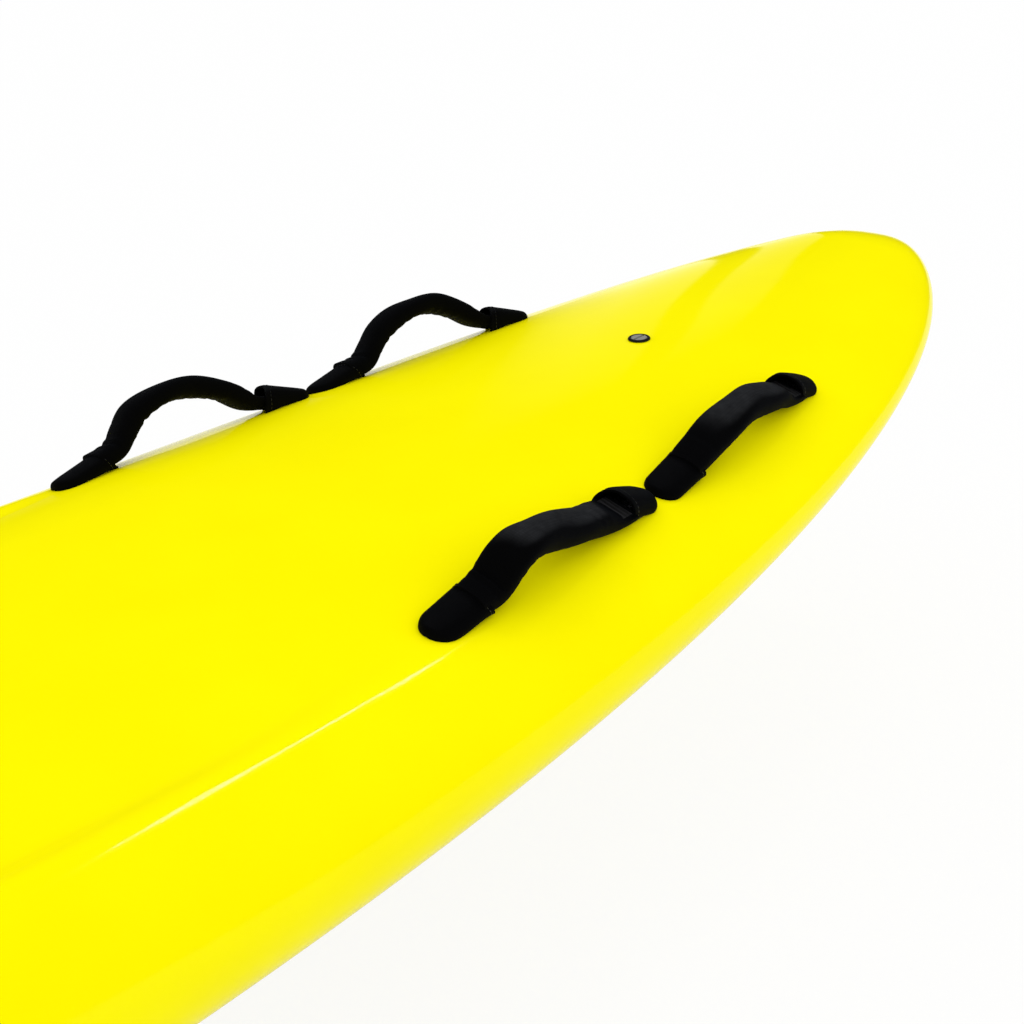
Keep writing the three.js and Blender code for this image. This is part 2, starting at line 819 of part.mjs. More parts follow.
const bladeShares = [0, 0.16, 0.36, 0.56, 0.74, 0.88, 0.97, 1];
const bladeTipShares = [1, 1, 1, 1, 0.97, 0.85, 0.58, 0.3];
const foilShares = [[0, 0], [0.08, 0.55], [0.3, 1], [0.65, 0.72], [1, 0.12]];

function bladeSolid() {
  const rings = bladeShares.map((down, i) => {
    const chord = (finBase + (finTipChord - finBase) * down) * bladeTipShares[i];
    const thickness = finThickness * (1 - down * finTaperShare);
    const lead = finBase / 2 - finRake * down ** finRakePower - (finBase - chord) * finLeadShare;
    const low = -finStandoff - down * finDepth;
    const side = (sign) => foilShares.map(([along, half]) => {
      return new THREE.Vector3(lead - along * chord, (sign * half * thickness) / 2, low);
    });
    return [...side(1), ...side(-1).reverse().slice(0, -1)];
  });
  return loft(rings);
}

function addFin(frame) {
  const group = groupAt(frame);
  addPiece(group, 'fin_box', finBoxSolid(), blackPlastic);
  const pinHeight = finGrooveCover + finGrooveHeight / 2;
  const pinX = finPinInset - finBase / 2;
  const pin = (diameter, length) => {
    const rod = hole(diameter, -length / 2, length / 2, smallTurnSides);
    return rod.rotate([90, 0, 0]).translate([pinX, 0, pinHeight]);
  };
  const lugFront = finBase / 2 + finLugLength;
  const screwX = lugFront - finScrewInset;
  const tabWidth = finSlotWidth - 2 * finSlide;
  const tabMiddle = (finTabHeight - finStandoff) / 2;
  const tab = block(finBase, tabWidth, finTabHeight + finStandoff, 0, 0, tabMiddle);
  const lugX = lugFront - finLugLength;
  const lug = block(2 * finLugLength, tabWidth, finLugHeight, lugX, 0, finLugLift + finLugHeight / 2);
  const room = hole(finScrewDiameter + 2 * gap, 0, finBoxDepth, smallTurnSides);
  const screwRoom = room.translate([screwX, 0, 0]);
  const body = bladeSolid().add(tab).add(lug).subtract(screwRoom);
  addPiece(group, 'fin', body.subtract(pin(finPinDiameter + 2 * gap, finBoxWidth)), blackFin);
  addPiece(group, 'fin_pin', pin(finPinDiameter, finPinLength), brass);
  const plateHeight = finGrooveCover + gap + finPlateThickness / 2;
  const plate = block(finPlateSize, finPinLength, finPlateThickness, screwX, 0, plateHeight);
  addPiece(group, 'fin_plate', plate.subtract(screwRoom), brass);
  const seat = finLugLift - gap;
  const screw = turned([
    [0, seat - finScrewHeadHeight], [finScrewHead / 2, seat - finScrewHeadHeight],
    [finScrewHead / 2, seat], [finScrewDiameter / 2, seat],
    [finScrewDiameter / 2, plateHeight + finPlateThickness], [0, plateHeight + finPlateThickness],
  ], smallTurnSides).translate([screwX, 0, 0]);
  addPiece(group, 'fin_screw', screw, stainless);
}

// Board: skins, core halves, stringer and backings, with the cuts for what passes through them

const grownBoard = boardSolid(-gap);
const vent = ventFrame();
const fin = finFrame();

function ventCut(clearance) {
  const foot = ventSeat - ventBarrelLength - clearance;
  return placed(hole(ventBarrelDiameter + 2 * clearance, foot, overrun, turnSides), vent);
}

function addSkins() {
  const outer = boardRings(0);
  const inner = boardRings(skinThickness);
  const ringSize = outer[0].length;
  let deck = shell(outer, inner, 0, railToRail, 0).subtract(ventCut(gap));
  for (const cut of screwCuts(gap)) deck = deck.subtract(cut);
  addPiece(board, 'deck_skin', deck, yellowGelcoat);
  const bottom = shell(outer, inner, railToRail, ringSize, gap);
  addPiece(board, 'bottom_skin', bottom.subtract(placed(finBoxForm(gap), fin)), yellowGelcoat);
}

function addCore() {
  const inside = boardSolid(skinThickness + gap);
  const ventRoom = ventCut(gap);
  const finRoom = placed(finBoxForm(gap), fin);
  const half = stringerThickness / 2;
  const slab = (low, high) => {
    return block(boardLength, high - low, 4 * boardThickness, 0, (low + high) / 2, boardThickness);
  };
  const stringer = inside.intersect(slab(-half, half)).subtract(ventRoom).subtract(finRoom);
  addPiece(board, 'stringer', stringer, pineWood);
  for (const [name, side] of [['port', 1], ['starboard', -1]]) {
    const near = half + gap;
    const [low, high] = side > 0 ? [near, boardWidth] : [-boardWidth, -near];
    let core = inside.intersect(slab(low, high)).subtract(ventRoom).subtract(finRoom);
    for (const [, rearX, frontX, at] of backings) {
      if (at === side) core = core.subtract(backingForm(rearX, frontX, at, gap));
    }
    addPiece(board, `${name}_core`, core, whiteFoam);
  }
  for (const [name, rearX, frontX, side] of backings) {
    let backing = backingForm(rearX, frontX, side, 0).intersect(inside);
    for (const cut of screwCuts(gap)) backing = backing.subtract(cut);
    addPiece(board, name, backing, birchPly);
  }
}

addSkins();
addCore();
for (const { name, frame, bowShares } of handles) addHandle(name, frame, bowShares);
addPad('port_pad', 1);
addPad('starboard_pad', -1);
addVent(vent);
addFin(fin);

export default board;
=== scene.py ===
import json
import math

import bmesh
import bpy
import numpy as np
from mathutils import Matrix, Vector

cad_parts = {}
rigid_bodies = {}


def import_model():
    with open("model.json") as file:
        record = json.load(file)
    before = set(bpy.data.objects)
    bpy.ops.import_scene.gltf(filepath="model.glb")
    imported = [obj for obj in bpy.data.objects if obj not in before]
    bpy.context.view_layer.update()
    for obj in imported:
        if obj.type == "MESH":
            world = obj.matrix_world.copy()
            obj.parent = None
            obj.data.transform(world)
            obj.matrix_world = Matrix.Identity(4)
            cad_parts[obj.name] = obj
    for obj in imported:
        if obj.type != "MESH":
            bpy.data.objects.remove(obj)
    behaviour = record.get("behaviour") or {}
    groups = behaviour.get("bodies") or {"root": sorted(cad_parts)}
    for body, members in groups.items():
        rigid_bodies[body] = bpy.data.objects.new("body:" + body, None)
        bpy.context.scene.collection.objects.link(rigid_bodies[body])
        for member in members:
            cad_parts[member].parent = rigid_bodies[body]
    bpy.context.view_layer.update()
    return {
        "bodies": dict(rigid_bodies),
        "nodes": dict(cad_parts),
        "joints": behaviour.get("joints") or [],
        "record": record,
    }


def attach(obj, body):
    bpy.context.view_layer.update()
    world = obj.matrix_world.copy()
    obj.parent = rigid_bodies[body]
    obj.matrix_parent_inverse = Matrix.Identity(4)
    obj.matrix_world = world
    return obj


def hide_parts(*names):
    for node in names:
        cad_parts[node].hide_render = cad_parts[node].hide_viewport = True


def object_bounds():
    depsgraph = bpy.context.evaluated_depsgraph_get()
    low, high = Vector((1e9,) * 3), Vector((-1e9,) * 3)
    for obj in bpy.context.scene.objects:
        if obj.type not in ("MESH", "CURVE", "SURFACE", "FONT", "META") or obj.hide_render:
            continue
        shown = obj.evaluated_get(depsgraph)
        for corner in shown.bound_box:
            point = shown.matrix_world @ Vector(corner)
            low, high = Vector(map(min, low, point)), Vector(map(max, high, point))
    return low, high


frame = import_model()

nodes = frame["nodes"]


# Core: two blocks of white bead foam, cut to the board's shape with a hot wire and glued to a pine
# stringer between them. Birch plywood strips are let in under the deck where the handle screws bite.
# None of it shows once the board is glassed, so the solids stay and only get their materials.

def linear(colour):
    """Linear light of an sRGB hex colour."""
    shares = [(colour >> shift & 255) / 255 for shift in (16, 8, 0)]
    return [s / 12.92 if s <= 0.04045 else ((s + 0.055) / 1.055) ** 2.4 for s in shares] + [1.0]


def add_node(tree, kind, sockets=None, **settings):
    """A node with its settings, each socket given its value or linked to another node's output."""
    node = tree.nodes.new(kind)
    for name, value in settings.items():
        setattr(node, name, value)
    for key, value in (sockets or {}).items():
        if isinstance(value, bpy.types.NodeSocket):
            tree.links.new(value, node.inputs[key])
        else:
            node.inputs[key].default_value = value
    return node


def new_material(name, sockets):
    """A material with its shader's plain values, its tree, its shader and its Object coordinates."""
    material = bpy.data.materials.new(name)
    material.use_nodes = True
    tree = material.node_tree
    shader = tree.nodes["Principled BSDF"]
    for key, value in sockets.items():
        shader.inputs[key].default_value = value
    place = add_node(tree, "ShaderNodeTexCoord").outputs["Object"]
    return material, tree, shader, place


def two_tone(tree, shader, share, low, high, start=0.0, end=1.0):
    """Base colour that runs between two sRGB colours as a share goes from start to end."""
    ramp = add_node(tree, "ShaderNodeValToRGB", {"Fac": share})
    for i, colour, position in ((0, low, start), (1, high, end)):
        ramp.color_ramp.elements[i].color = linear(colour)
        ramp.color_ramp.elements[i].position = position
    tree.links.new(ramp.outputs["Color"], shader.inputs["Base Color"])


def relief(tree, shader, height, depth, strength=1.0):
    """Bump of a depth in metres, from a height that goes from 0 to 1."""
    bump = add_node(tree, "ShaderNodeBump", {"Height": height, "Distance": depth, "Strength": strength})
    tree.links.new(bump.outputs["Normal"], shader.inputs["Normal"])


def patterned(name, values, sockets, depth, kind="ShaderNodeTexNoise", tones=None, rough=None,
              stretch=None, **settings):
    """A material whose relief, and shade or roughness, follow one texture, which may be stretched."""
    material, tree, shader, place = new_material(name, values)
    if stretch:
        place = add_node(tree, "ShaderNodeMapping", {"Vector": place, "Scale": stretch}).outputs[0]
    texture = add_node(tree, kind, {"Vector": place, **sockets}, **settings)
    share = texture.outputs["Distance" if "Voronoi" in kind else "Fac"]
    if tones:
        two_tone(tree, shader, share, *tones)
    if rough:
        sockets = {"Value": share, "To Min": rough[0], "To Max": rough[1]}
        dull = add_node(tree, "ShaderNodeMapRange", sockets).outputs["Result"]
        tree.links.new(dull, shader.inputs["Roughness"])
    relief(tree, shader, share, depth)
    return material


def coat(material, *pieces):
    """Gives each of these pieces the material, and no other."""
    for piece in pieces:
        piece.data.materials.clear()
        piece.data.materials.append(material)


def named(*endings):
    """CAD nodes whose names end in one of these."""
    return [nodes[name] for name in nodes if name.endswith(endings)]


# Expanded polystyrene: steamed beads, here 4 mm across, each a little brighter than its edges
bead_size = 0.004
foam = patterned("expanded_polystyrene", {"Roughness": 0.9, "IOR": 1.45}, {"Scale": 1 / bead_size},
                 -0.0004, "ShaderNodeTexVoronoi", tones=(0xF4F4F0, 0xE4E4DE), feature="F1")
coat(foam, *named("_core"))

# Planed pine: growth rings 4.8 mm apart, drawn out along the board, late wood darker. At a scale of
# 1 the Wave texture's light and dark bands are each 0.16 m wide.
ring_width, wave_band = 0.0048, 0.16
sockets = {"Scale": 2 * wave_band / ring_width, "Distortion": 5.0, "Detail": 3.0}
pine = patterned("planed_pine", {"Roughness": 0.6, "IOR": 1.5}, sockets, 0.0002, "ShaderNodeTexWave",
                 tones=(0xE2C48F, 0xBE9258, 0.3, 0.95), stretch=(0.05, 1.0, 1.0), bands_direction="Z")
coat(pine, nodes["stringer"])

# Sawn birch plywood: veneers 1.5 mm thick, every other one seen on its end grain and darker
veneer = 0.0015
sockets = {"Scale": wave_band / veneer, "Distortion": 0.6}
plywood = patterned("birch_plywood", {"Roughness": 0.7, "IOR": 1.5}, sockets, 0.0001,
                    "ShaderNodeTexWave", tones=(0xB88F5B, 0xD9BB88, 0.4, 0.6), bands_direction="Z")
coat(plywood, *named("_backing"))


# Hull: glass cloth and resin laid over the core in one skin, deck, rails and bottom alike, under
# a sprayed yellow gelcoat that is cut back and polished. The deck is dished between two soft
# ridges, and towards the nose it rises and turns into a crown.

board_length, board_width, board_thickness = 3.2, 0.58, 0.173
skin_thickness, gelcoat_cloud = 0.0025, 0.09
crest_share, crease_share, bilge_share = 0.795, 0.68, 0.44  # shares of the half width
dish_depth, dish_fades = 0.015, (0.5, 0.8)
crown_height, crown_grows, dome_power = 0.016, (0.02, 0.6), 2.6
rocker_power, taper_power = 1.98, 2.2
# At the nose and at the tail: two powers of the outline's curve, how high the bottom rises and from
# where, the depth that is left, and how far in the end is rounded
outline_along, outline_across = (3.26, 2.7), (1.75, 1.85)
end_lifts, flat_ends, end_depths, end_reaches = (0.202, 0.062), (0.2, 0.26), (0.028, 0.034), (0.08, 0.09)
slope_span = 0.008  # how far to either side of a point its slope is measured


def ease(value, start, end):
    """Rises smoothly from 0 to 1 between start and end."""
    t = np.clip((value - start) / (end - start), 0, 1)
    return t * t * (3 - 2 * t)


def quarter_arc(share, power=2):
    """Falls from 1 to 0 over a share as a quarter of a circle does, or squarer."""
    return np.sqrt(np.maximum(1 - share ** power, 0))


def length_share(x):
    return np.minimum(abs(x) / (board_length / 2), 1)


def half_width(x):
    along, across = np.where(x > 0, *outline_along), np.where(x > 0, *outline_across)
    return board_width / 2 * (1 - length_share(x) ** along) ** (1 / across)


def bottom_lift(x):
    lift, flat = np.where(x > 0, *end_lifts), np.where(x > 0, *flat_ends)
    rise = np.maximum(abs(x) - flat, 0) / (board_length / 2 - flat)
    return lift * rise ** rocker_power


def depth(x):
    end = np.where(x > 0, *end_depths)
    return end + (board_thickness - end) * (1 - length_share(x) ** taper_power)


def end_rounding(x):
    inward = (board_length / 2 - abs(x)) / np.where(x > 0, *end_reaches)
    return quarter_arc(1 - np.minimum(inward, 1))


def deck_at(x, share):
    """Height of the deck at x, at a share of the half width from the centreline."""
    crown = ease(abs(x), *crown_grows)
    shoulder = quarter_arc(np.maximum(share - crest_share, 0) / (1 - crest_share))
    dome = quarter_arc(share, dome_power)
    sunk = dish_depth * (1 - ease(abs(x), *dish_fades)) * (1 - ease(share, crease_share, crest_share))
    top = depth(x) / 2 + crown_height * crown - sunk
    rail = bottom_lift(x) + depth(x) / 2
    return rail + top * (shoulder * (1 - crown) + dome * crown) * end_rounding(x)


def bottom_at(x, share):
    """Height of the bottom at x, at a share of the half width from the centreline."""
    bilge = quarter_arc(np.maximum(share - bilge_share, 0) / (1 - bilge_share))
    drop = depth(x) / 2 * bilge * end_rounding(x)
    return bottom_lift(x) + depth(x) / 2 - drop


def deck_height(x, y):
    return deck_at(x, np.minimum(abs(y) / half_width(x), 1))


def new_piece(name, points, faces, smooth=True):
    """Mesh object of this name from its points and faces."""
    mesh = bpy.data.meshes.new(name)
    mesh.from_pydata([tuple(map(float, p)) for p in points], [], faces)
    mesh.validate()
    piece = bpy.data.objects.new(name, mesh)
    bpy.context.scene.collection.objects.link(piece)
    mesh.polygons.foreach_set("use_smooth", [smooth] * len(mesh.polygons))
    return piece


def tube_faces(rings, sides, closed=False):
    """Quads between rings of points, each ring joined to the next."""
    last = rings if closed else rings - 1
    return [(i * sides + j, i * sides + (j + 1) % sides,
             (i + 1) % rings * sides + (j + 1) % sides, (i + 1) % rings * sides + j)
            for i in range(last) for j in range(sides)]


def tidy(piece):
    """Merges doubled points and turns the faces outwards."""
    shape = bmesh.new()
    shape.from_mesh(piece.data)
    bmesh.ops.remove_doubles(shape, verts=shape.verts, dist=1e-6)
    bmesh.ops.recalc_face_normals(shape, faces=shape.faces)
    shape.to_mesh(piece.data)
    shape.free()


def settle(piece):
    """Puts what the modifiers make into the piece's own mesh."""
    graph = bpy.context.evaluated_depsgraph_get()
    made = bpy.data.meshes.new_from_object(piece.evaluated_get(graph))
    piece.modifiers.clear()
    piece.data = made
    made.name = piece.name


def add_wall(piece, thickness, offset):
    """Gives a sheet its thickness: inwards at -1, to both sides at 0, outwards at 1."""
    wall = piece.modifiers.new("wall", "SOLIDIFY")
    wall.thickness, wall.offset = thickness, offset


def round_rims(piece, width, segments, degrees):
    """Rounds the edges that are sharper than this."""
    rim = piece.modifiers.new("rim", "BEVEL")
    rim.width, rim.segments = width, segments
    rim.limit_method, rim.angle_limit = "ANGLE", math.radians(degrees)


def cut(piece, *tools, operation="DIFFERENCE"):
    """Takes closed shapes out of the piece, or joins them to it, and removes them."""
    for tool in tools:
        change = piece.modifiers.new("cut", "BOOLEAN")
        change.operation, change.solver, change.object = operation, "EXACT", tool
    settle(piece)
    for tool in tools:
        bpy.data.objects.remove(tool)


def hand_over(piece, degrees, body, slot, *stands_for):
    """Breaks the smooth shading at edges sharper than this, puts the piece on its body and hides the CAD
    nodes it stands for. The slot is not used.
    """
    piece.data.set_sharp_from_angle(angle=math.radians(degrees))
    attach(piece, body)
    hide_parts(*stands_for)


def prism(name, outline, low, high, frame=Matrix()):
    """Closed prism over an outline in the XY plane of a frame."""
    count = len(outline)
    points = [(x, y, z) for z in (low, high) for x, y in outline]
    sides = [(i, (i + 1) % count, count + (i + 1) % count, count + i) for i in range(count)]
    ends = [tuple(reversed(range(count))), tuple(range(count, 2 * count))]
    piece = new_piece(name, points, sides + ends, smooth=False)
    piece.data.transform(frame)
    return piece


def brick(name, low, high):
    """Block between two opposite corners."""
    (x0, y0, z0), (x1, y1, z1) = low, high
    return prism(name, [(x0, y0), (x1, y0), (x1, y1), (x0, y1)], z0, z1)


def circle(radius, sides=32):
    turns = [2 * math.pi * i / sides for i in range(sides)]
    return [(radius * math.cos(t), radius * math.sin(t)) for t in turns]


def stadium(length, width, steps=16):
    """Outline with straight sides and round ends."""
    turns = [math.pi * (i / steps - 0.5) for i in range(steps + 1)]
    middle, radius = (length - width) / 2, width / 2
    arc = [(middle + radius * math.cos(turn), radius * math.sin(turn)) for turn in turns]
    return arc + [(-x, -y) for x, y in arc]


def centre_frame(x, height):
    """Frame on the centreline of the deck or the bottom: X forwards along it, Z square to it."""
    slope = (height(x + slope_span, 0) - height(x - slope_span, 0)) / (2 * slope_span)
    return Matrix.Translation((x, 0, height(x, 0))) @ Matrix.Rotation(-math.atan(slope), 4, "Y")


def arc_shares(start, steps):
    """Shares from start to 1 that crowd together towards the rail."""
    return start + (1 - start) * np.sin(np.pi / 2 * np.arange(1, steps + 1) / steps)


vent_frame, fin_frame = centre_frame(1.176, deck_height), centre_frame(-1.17, bottom_at)
half_stations = 150
floor_steps, crease_steps, shoulder_steps, flat_steps, bilge_steps = 8, 16, 20, 8, 18
steps = np.arange(-half_stations, half_stations + 1) / half_stations
stations = board_length / 2 * np.sin(np.pi / 2 * steps)
over = np.concatenate([
    np.linspace(0, crease_share, floor_steps, endpoint=False),
    np.linspace(crease_share, crest_share, crease_steps), arc_shares(crest_share, shoulder_steps),
])
under = np.concatenate([np.linspace(0, bilge_share, flat_steps), arc_shares(bilge_share, bilge_steps)])
rings = []
for x in stations:
    deck, bottom = ([(x, share * half_width(x), z) for share, z in zip(shares, height(x, shares))]
                    for shares, height in ((over, deck_at), (under, bottom_at)))
    starboard = [(x, -y, z) for x, y, z in deck[1:] + bottom[::-1][1:]]
    rings.append(deck[::-1] + starboard + bottom[1:-1])
points = [p for ring in rings for p in ring]
hull = new_piece("hull_laminate", points, tube_faces(len(rings), len(rings[0])))
tidy(hull)
add_wall(hull, skin_thickness, -1)
settle(hull)
vent_hole_radius, fin_box_length, fin_box_width, glue_line = 0.0088, 0.268, 0.026, 0.0003
vent_hole = prism("vent_hole", circle(vent_hole_radius, 48), -0.01, 0.01, vent_frame)
fin_hole = stadium(fin_box_length + 2 * glue_line, fin_box_width + 2 * glue_line)
cut(hull, vent_hole, prism("fin_hole", fin_hole, -0.01, 0.02, fin_frame))

# Polished polyester gelcoat, chrome yellow: deep gloss, with a faint orange peel about 4 mm
# across, buffed down to microns, and a slow variation in its depth of colour
peel_size = 0.004
sockets = {"Roughness": 0.05, "IOR": 1.5, "Specular IOR Level": 0.06}
gelcoat, tree, shader, place = new_material("polished_yellow_gelcoat", sockets)
cloud = add_node(tree, "ShaderNodeTexNoise", {"Vector": place, "Scale": 1 / gelcoat_cloud, "Detail": 3.0})
two_tone(tree, shader, cloud.outputs["Fac"], 0xFDF201, 0xFFF502, 0.3, 0.7)
peel = add_node(tree, "ShaderNodeTexNoise", {"Vector": place, "Scale": 1 / peel_size, "Detail": 1.0})
relief(tree, shader, peel.outputs["Fac"], 0.000004)
coat(gelcoat, hull)
hand_over(hull, 40, "board", "gelcoat", "deck_skin", "bottom_skin")


# Handles: nylon webbing screwed down at both ends, with a sleeve of padded neoprene over its bow,
# sewn along its underside. Hands have left each bow in its own shape: broad, full, steep behind,
# or pressed low. In front each sleeve is pressed flat where the strap comes down to the deck.

handle_length, row_share = 0.255, 0.719
grip_width, grip_thickness, grip_height, grip_power = 0.032, 0.0175, 0.046, 2.7
bow_along = [-0.34, -0.26, -0.205, -0.155, -0.06, 0.03, 0.1, 0.176, 0.26, 0.343]
broad_bow = [0.2, 0.28, 0.55, 0.78, 0.92, 0.92, 0.83, 0.64, 0.32, 0.2]
full_bow = [0.2, 0.23, 0.47, 0.69, 0.89, 0.93, 0.89, 0.69, 0.37, 0.2]
steep_bow = [0.2, 0.27, 0.6, 0.74, 0.67, 0.55, 0.44, 0.31, 0.24, 0.21]
low_bow = [0.2, 0.34, 0.46, 0.54, 0.62, 0.61, 0.54, 0.43, 0.28, 0.22]
handles = [
    ("port_bow", 1.204, 1, full_bow), ("port_fore", 0.946, 1, broad_bow),
    ("port_tail", -0.88, 1, full_bow), ("starboard_bow", 1.204, -1, low_bow),
    ("starboard_fore", 0.946, -1, steep_bow), ("starboard_tail", -0.88, -1, full_bow),
]


def row_point(x, side):
    """Point on the deck under the row of handles of one side."""
    y = side * row_share * half_width(x)
    return Vector((x, y, deck_height(x, y)))


def off_deck(x, y):
    """Way square to the deck at x and y."""
    return (deck_height(x - slope_span, y) - deck_height(x + slope_span, y),
            deck_height(x, y - slope_span) - deck_height(x, y + slope_span), 2 * slope_span)


def standing(place, *axes):
    """Frame at a place from its three axes."""
    return Matrix.Translation(place) @ Matrix(axes).transposed().to_4x4()


def handle_frame(front_x, side):
    """Frame of a handle: X along it to its front tip, Z off the deck, its origin on the deck."""
    front, rear = row_point(front_x, side), row_point(front_x - handle_length, side)
    origin = row_point((front.x + rear.x) / 2, side)
    out = Vector(off_deck(origin.x, origin.y))
    along = (front - rear).normalized()
    up = (out - along * out.dot(along)).normalized()
    return standing(origin, along, up.cross(along), up)


def smooth_line(points, steps):
    """Points of a smooth curve through these, closer together where they are."""
    ends = [2 * points[0] - points[1], *points, 2 * points[-1] - points[-2]]
    line = []
    for p0, p1, p2, p3 in zip(ends, ends[1:], ends[2:], ends[3:]):
        a, b, c = (max(np.linalg.norm(q - p) ** 0.5, 1e-9) for p, q in ((p0, p1), (p1, p2), (p2, p3)))
        start = ((p1 - p0) / a - (p2 - p0) / (a + b) + (p2 - p1) / b) * b
        end = ((p2 - p1) / b - (p3 - p1) / (b + c) + (p3 - p2) / c) * b
        for t in np.arange(steps) / steps:
            line.append((2 * t ** 3 - 3 * t ** 2 + 1) * p1 + (t ** 3 - 2 * t ** 2 + t) * start
                        + (3 * t ** 2 - 2 * t ** 3) * p2 + (t ** 3 - t ** 2) * end)
    line.append(points[-1])
    return np.array(line)


def spaced(line, count):
    """The same line with its points evenly spaced."""
    run = np.concatenate([[0], np.cumsum(np.linalg.norm(np.diff(line, axis=0), axis=1))])
    at = np.linspace(0, run[-1], count)
    return np.stack([np.interp(at, run, line[:, k]) for k in range(line.shape[1])], axis=1)


def moved(frame, points):
    """Points or ways of a handle's frame, as they are on the board."""
    return [frame @ Vector(p) for p in points]


def floor_of(frame, points):
    """Height of the deck under points in a handle's frame."""
    placed = np.array(moved(frame, points))
    up = np.array(frame.to_3x3() @ Vector((0, 0, 1)))[2]
    return points[:, 2] + up * (deck_height(placed[:, 0], placed[:, 1]) - placed[:, 2])


def bulge(value, power):
    """Sine or cosine of a circle made squarer."""
    return np.sign(value) * abs(value) ** (2 / power)


sleeve_rings, sleeve_sides, sleeve_run, sleeve_girth, sleeve_floor = 110, 48, 0.18, 0.09, 0.0014
channel_width, channel_height, channel_power = 0.0262, 0.0034, 8
rear_width, rear_share = 0.92, 0.08  # how narrow the rear end is, and over what share of the length
press_starts, press_full, press_depth = 0.8, 0.97, 0.95
fold_depth, fold_pitch, fold_bend = 0.0007, 0.011, 25
sway_depth, sway_pitch = 0.0006, 0.07


def across_line(spot, along, side, off):
    """Points to the side of a spot on a line that runs in the handle's XZ plane, and off it."""
    return np.stack([spot[0] - along[1] * off, side, spot[1] + along[0] * off], axis=1)


def sleeve_points(bow, frame, seed):
    """Rings of a sleeve from its rear end to its front, outside and then inside the channel."""
    bow_line = np.array([[a * handle_length, s * grip_height] for a, s in zip(bow_along, bow)])
    line = spaced(smooth_line(bow_line, 24), sleeve_rings)
    way = np.gradient(line, axis=0)
    step = np.linalg.norm(way, axis=1)
    way /= step[:, None]
    bend = np.gradient(np.unwrap(np.arctan2(way[:, 1], way[:, 0]))) / step
    angle = 2 * np.pi * (np.arange(sleeve_sides) + 0.5) / sleeve_sides
    outer, inner = [], []
    for i, (spot, along) in enumerate(zip(line, way)):
        share = i / (sleeve_rings - 1)
        run = 2 * np.pi * share * sleeve_run
        taper = rear_width + (1 - rear_width) * ease(share, 0, rear_share)
        pressed = press_depth * ease(share, press_starts, press_full)
        # Folds where the bow turns hard: the padding crowds on the inner side of the bend
        fold = fold_depth * np.clip(abs(bend[i]) / fold_bend, 0, 1) * np.sin(run / fold_pitch + seed)
        inner_side = np.clip(np.sign(bend[i]) * np.sin(angle), 0, 1)
        sway = sway_depth * np.sin(run / sway_pitch + 2 * angle + seed) + fold * inner_side
        across, up = bulge(np.cos(angle), grip_power), bulge(np.sin(angle), grip_power)
        up = np.where(up > 0, up * (1 - pressed), up)
        outer.append(across_line(spot, along, (grip_width / 2 + sway) * taper * across,
                                 (grip_thickness / 2 + sway) * taper * up))
        inner.append(across_line(spot, along, channel_width / 2 * bulge(np.cos(angle), channel_power),
                                 channel_height / 2 * bulge(np.sin(angle), channel_power)))
    outer, inner = np.array(outer), np.array(inner)
    flat = outer.reshape(-1, 3)
    flat[:, 2] = np.maximum(flat[:, 2], floor_of(frame, flat) + sleeve_floor)
    return flat.reshape(outer.shape), inner


# Neoprene: foam rubber between two faces of knitted nylon jersey, dyed black. The knit's stitches
# are 0.5 mm wide in life and drawn 0.8 mm wide and as far apart, so that they show. Where it faces
# the sky a painted highlight lightens it to a dark grey, and the nap of its fibres breaks that up.
knit_pitch, nap_size = 0.0008, 0.007
sockets = {"Roughness": 0.85, "IOR": 1.45, "Specular IOR Level": 0.05}
sockets |= {"Sheen Weight": 0.02, "Sheen Roughness": 0.5, "Sheen Tint": linear(0x9FB0D0)}
neoprene, tree, shader, place = new_material("black_neoprene_jersey", sockets)
weave = add_node(tree, "ShaderNodeUVMap", uv_map="cut").outputs["UV"]
sockets = {"Vector": weave, "Scale": wave_band / knit_pitch, "Distortion": 1.0, "Detail": 1.0}
wales = add_node(tree, "ShaderNodeTexWave", sockets, bands_direction="X")
courses = add_node(tree, "ShaderNodeTexWave", sockets, bands_direction="Y")
sockets = {0: wales.outputs["Fac"], 1: courses.outputs["Fac"]}
knit = add_node(tree, "ShaderNodeMath", sockets, operation="MULTIPLY").outputs[0]
nap = add_node(tree, "ShaderNodeTexNoise", {"Vector": place, "Scale": 1 / nap_size, "Detail": 5.0})
nap_breakup = add_node(tree, "ShaderNodeMapRange", {"Value": nap.outputs["Fac"], "To Min": 0.3, "To Max": 1.3})
stitched = add_node(tree, "ShaderNodeMapRange", {"Value": knit, "To Min": 0.85, "To Max": 1.15})
# Painted highlight: each point's share of painted top light, broken up by the nap and the knit, runs from
# black to dark grey
painted_light = add_node(tree, "ShaderNodeAttribute", attribute_name="painted_top_light").outputs["Fac"]
for share in (nap_breakup.outputs["Result"], stitched.outputs["Result"]):
    painted_light = add_node(tree, "ShaderNodeMath", {0: painted_light, 1: share}, operation="MULTIPLY").outputs[0]
two_tone(tree, shader, painted_light, 0x030304, 0x27282A)
relief(tree, shader, knit, 0.00012, 0.6)

# Thread: bonded nylon, black, its plies drawn 1 mm apart
ply = 0.001
thread = patterned("bonded_nylon_thread", {"Roughness": 0.45, "IOR": 1.53},
                   {"Scale": 1 / ply, "Detail": 1.0}, 0.0001, tones=(0x0A0A0C, 0x202127))


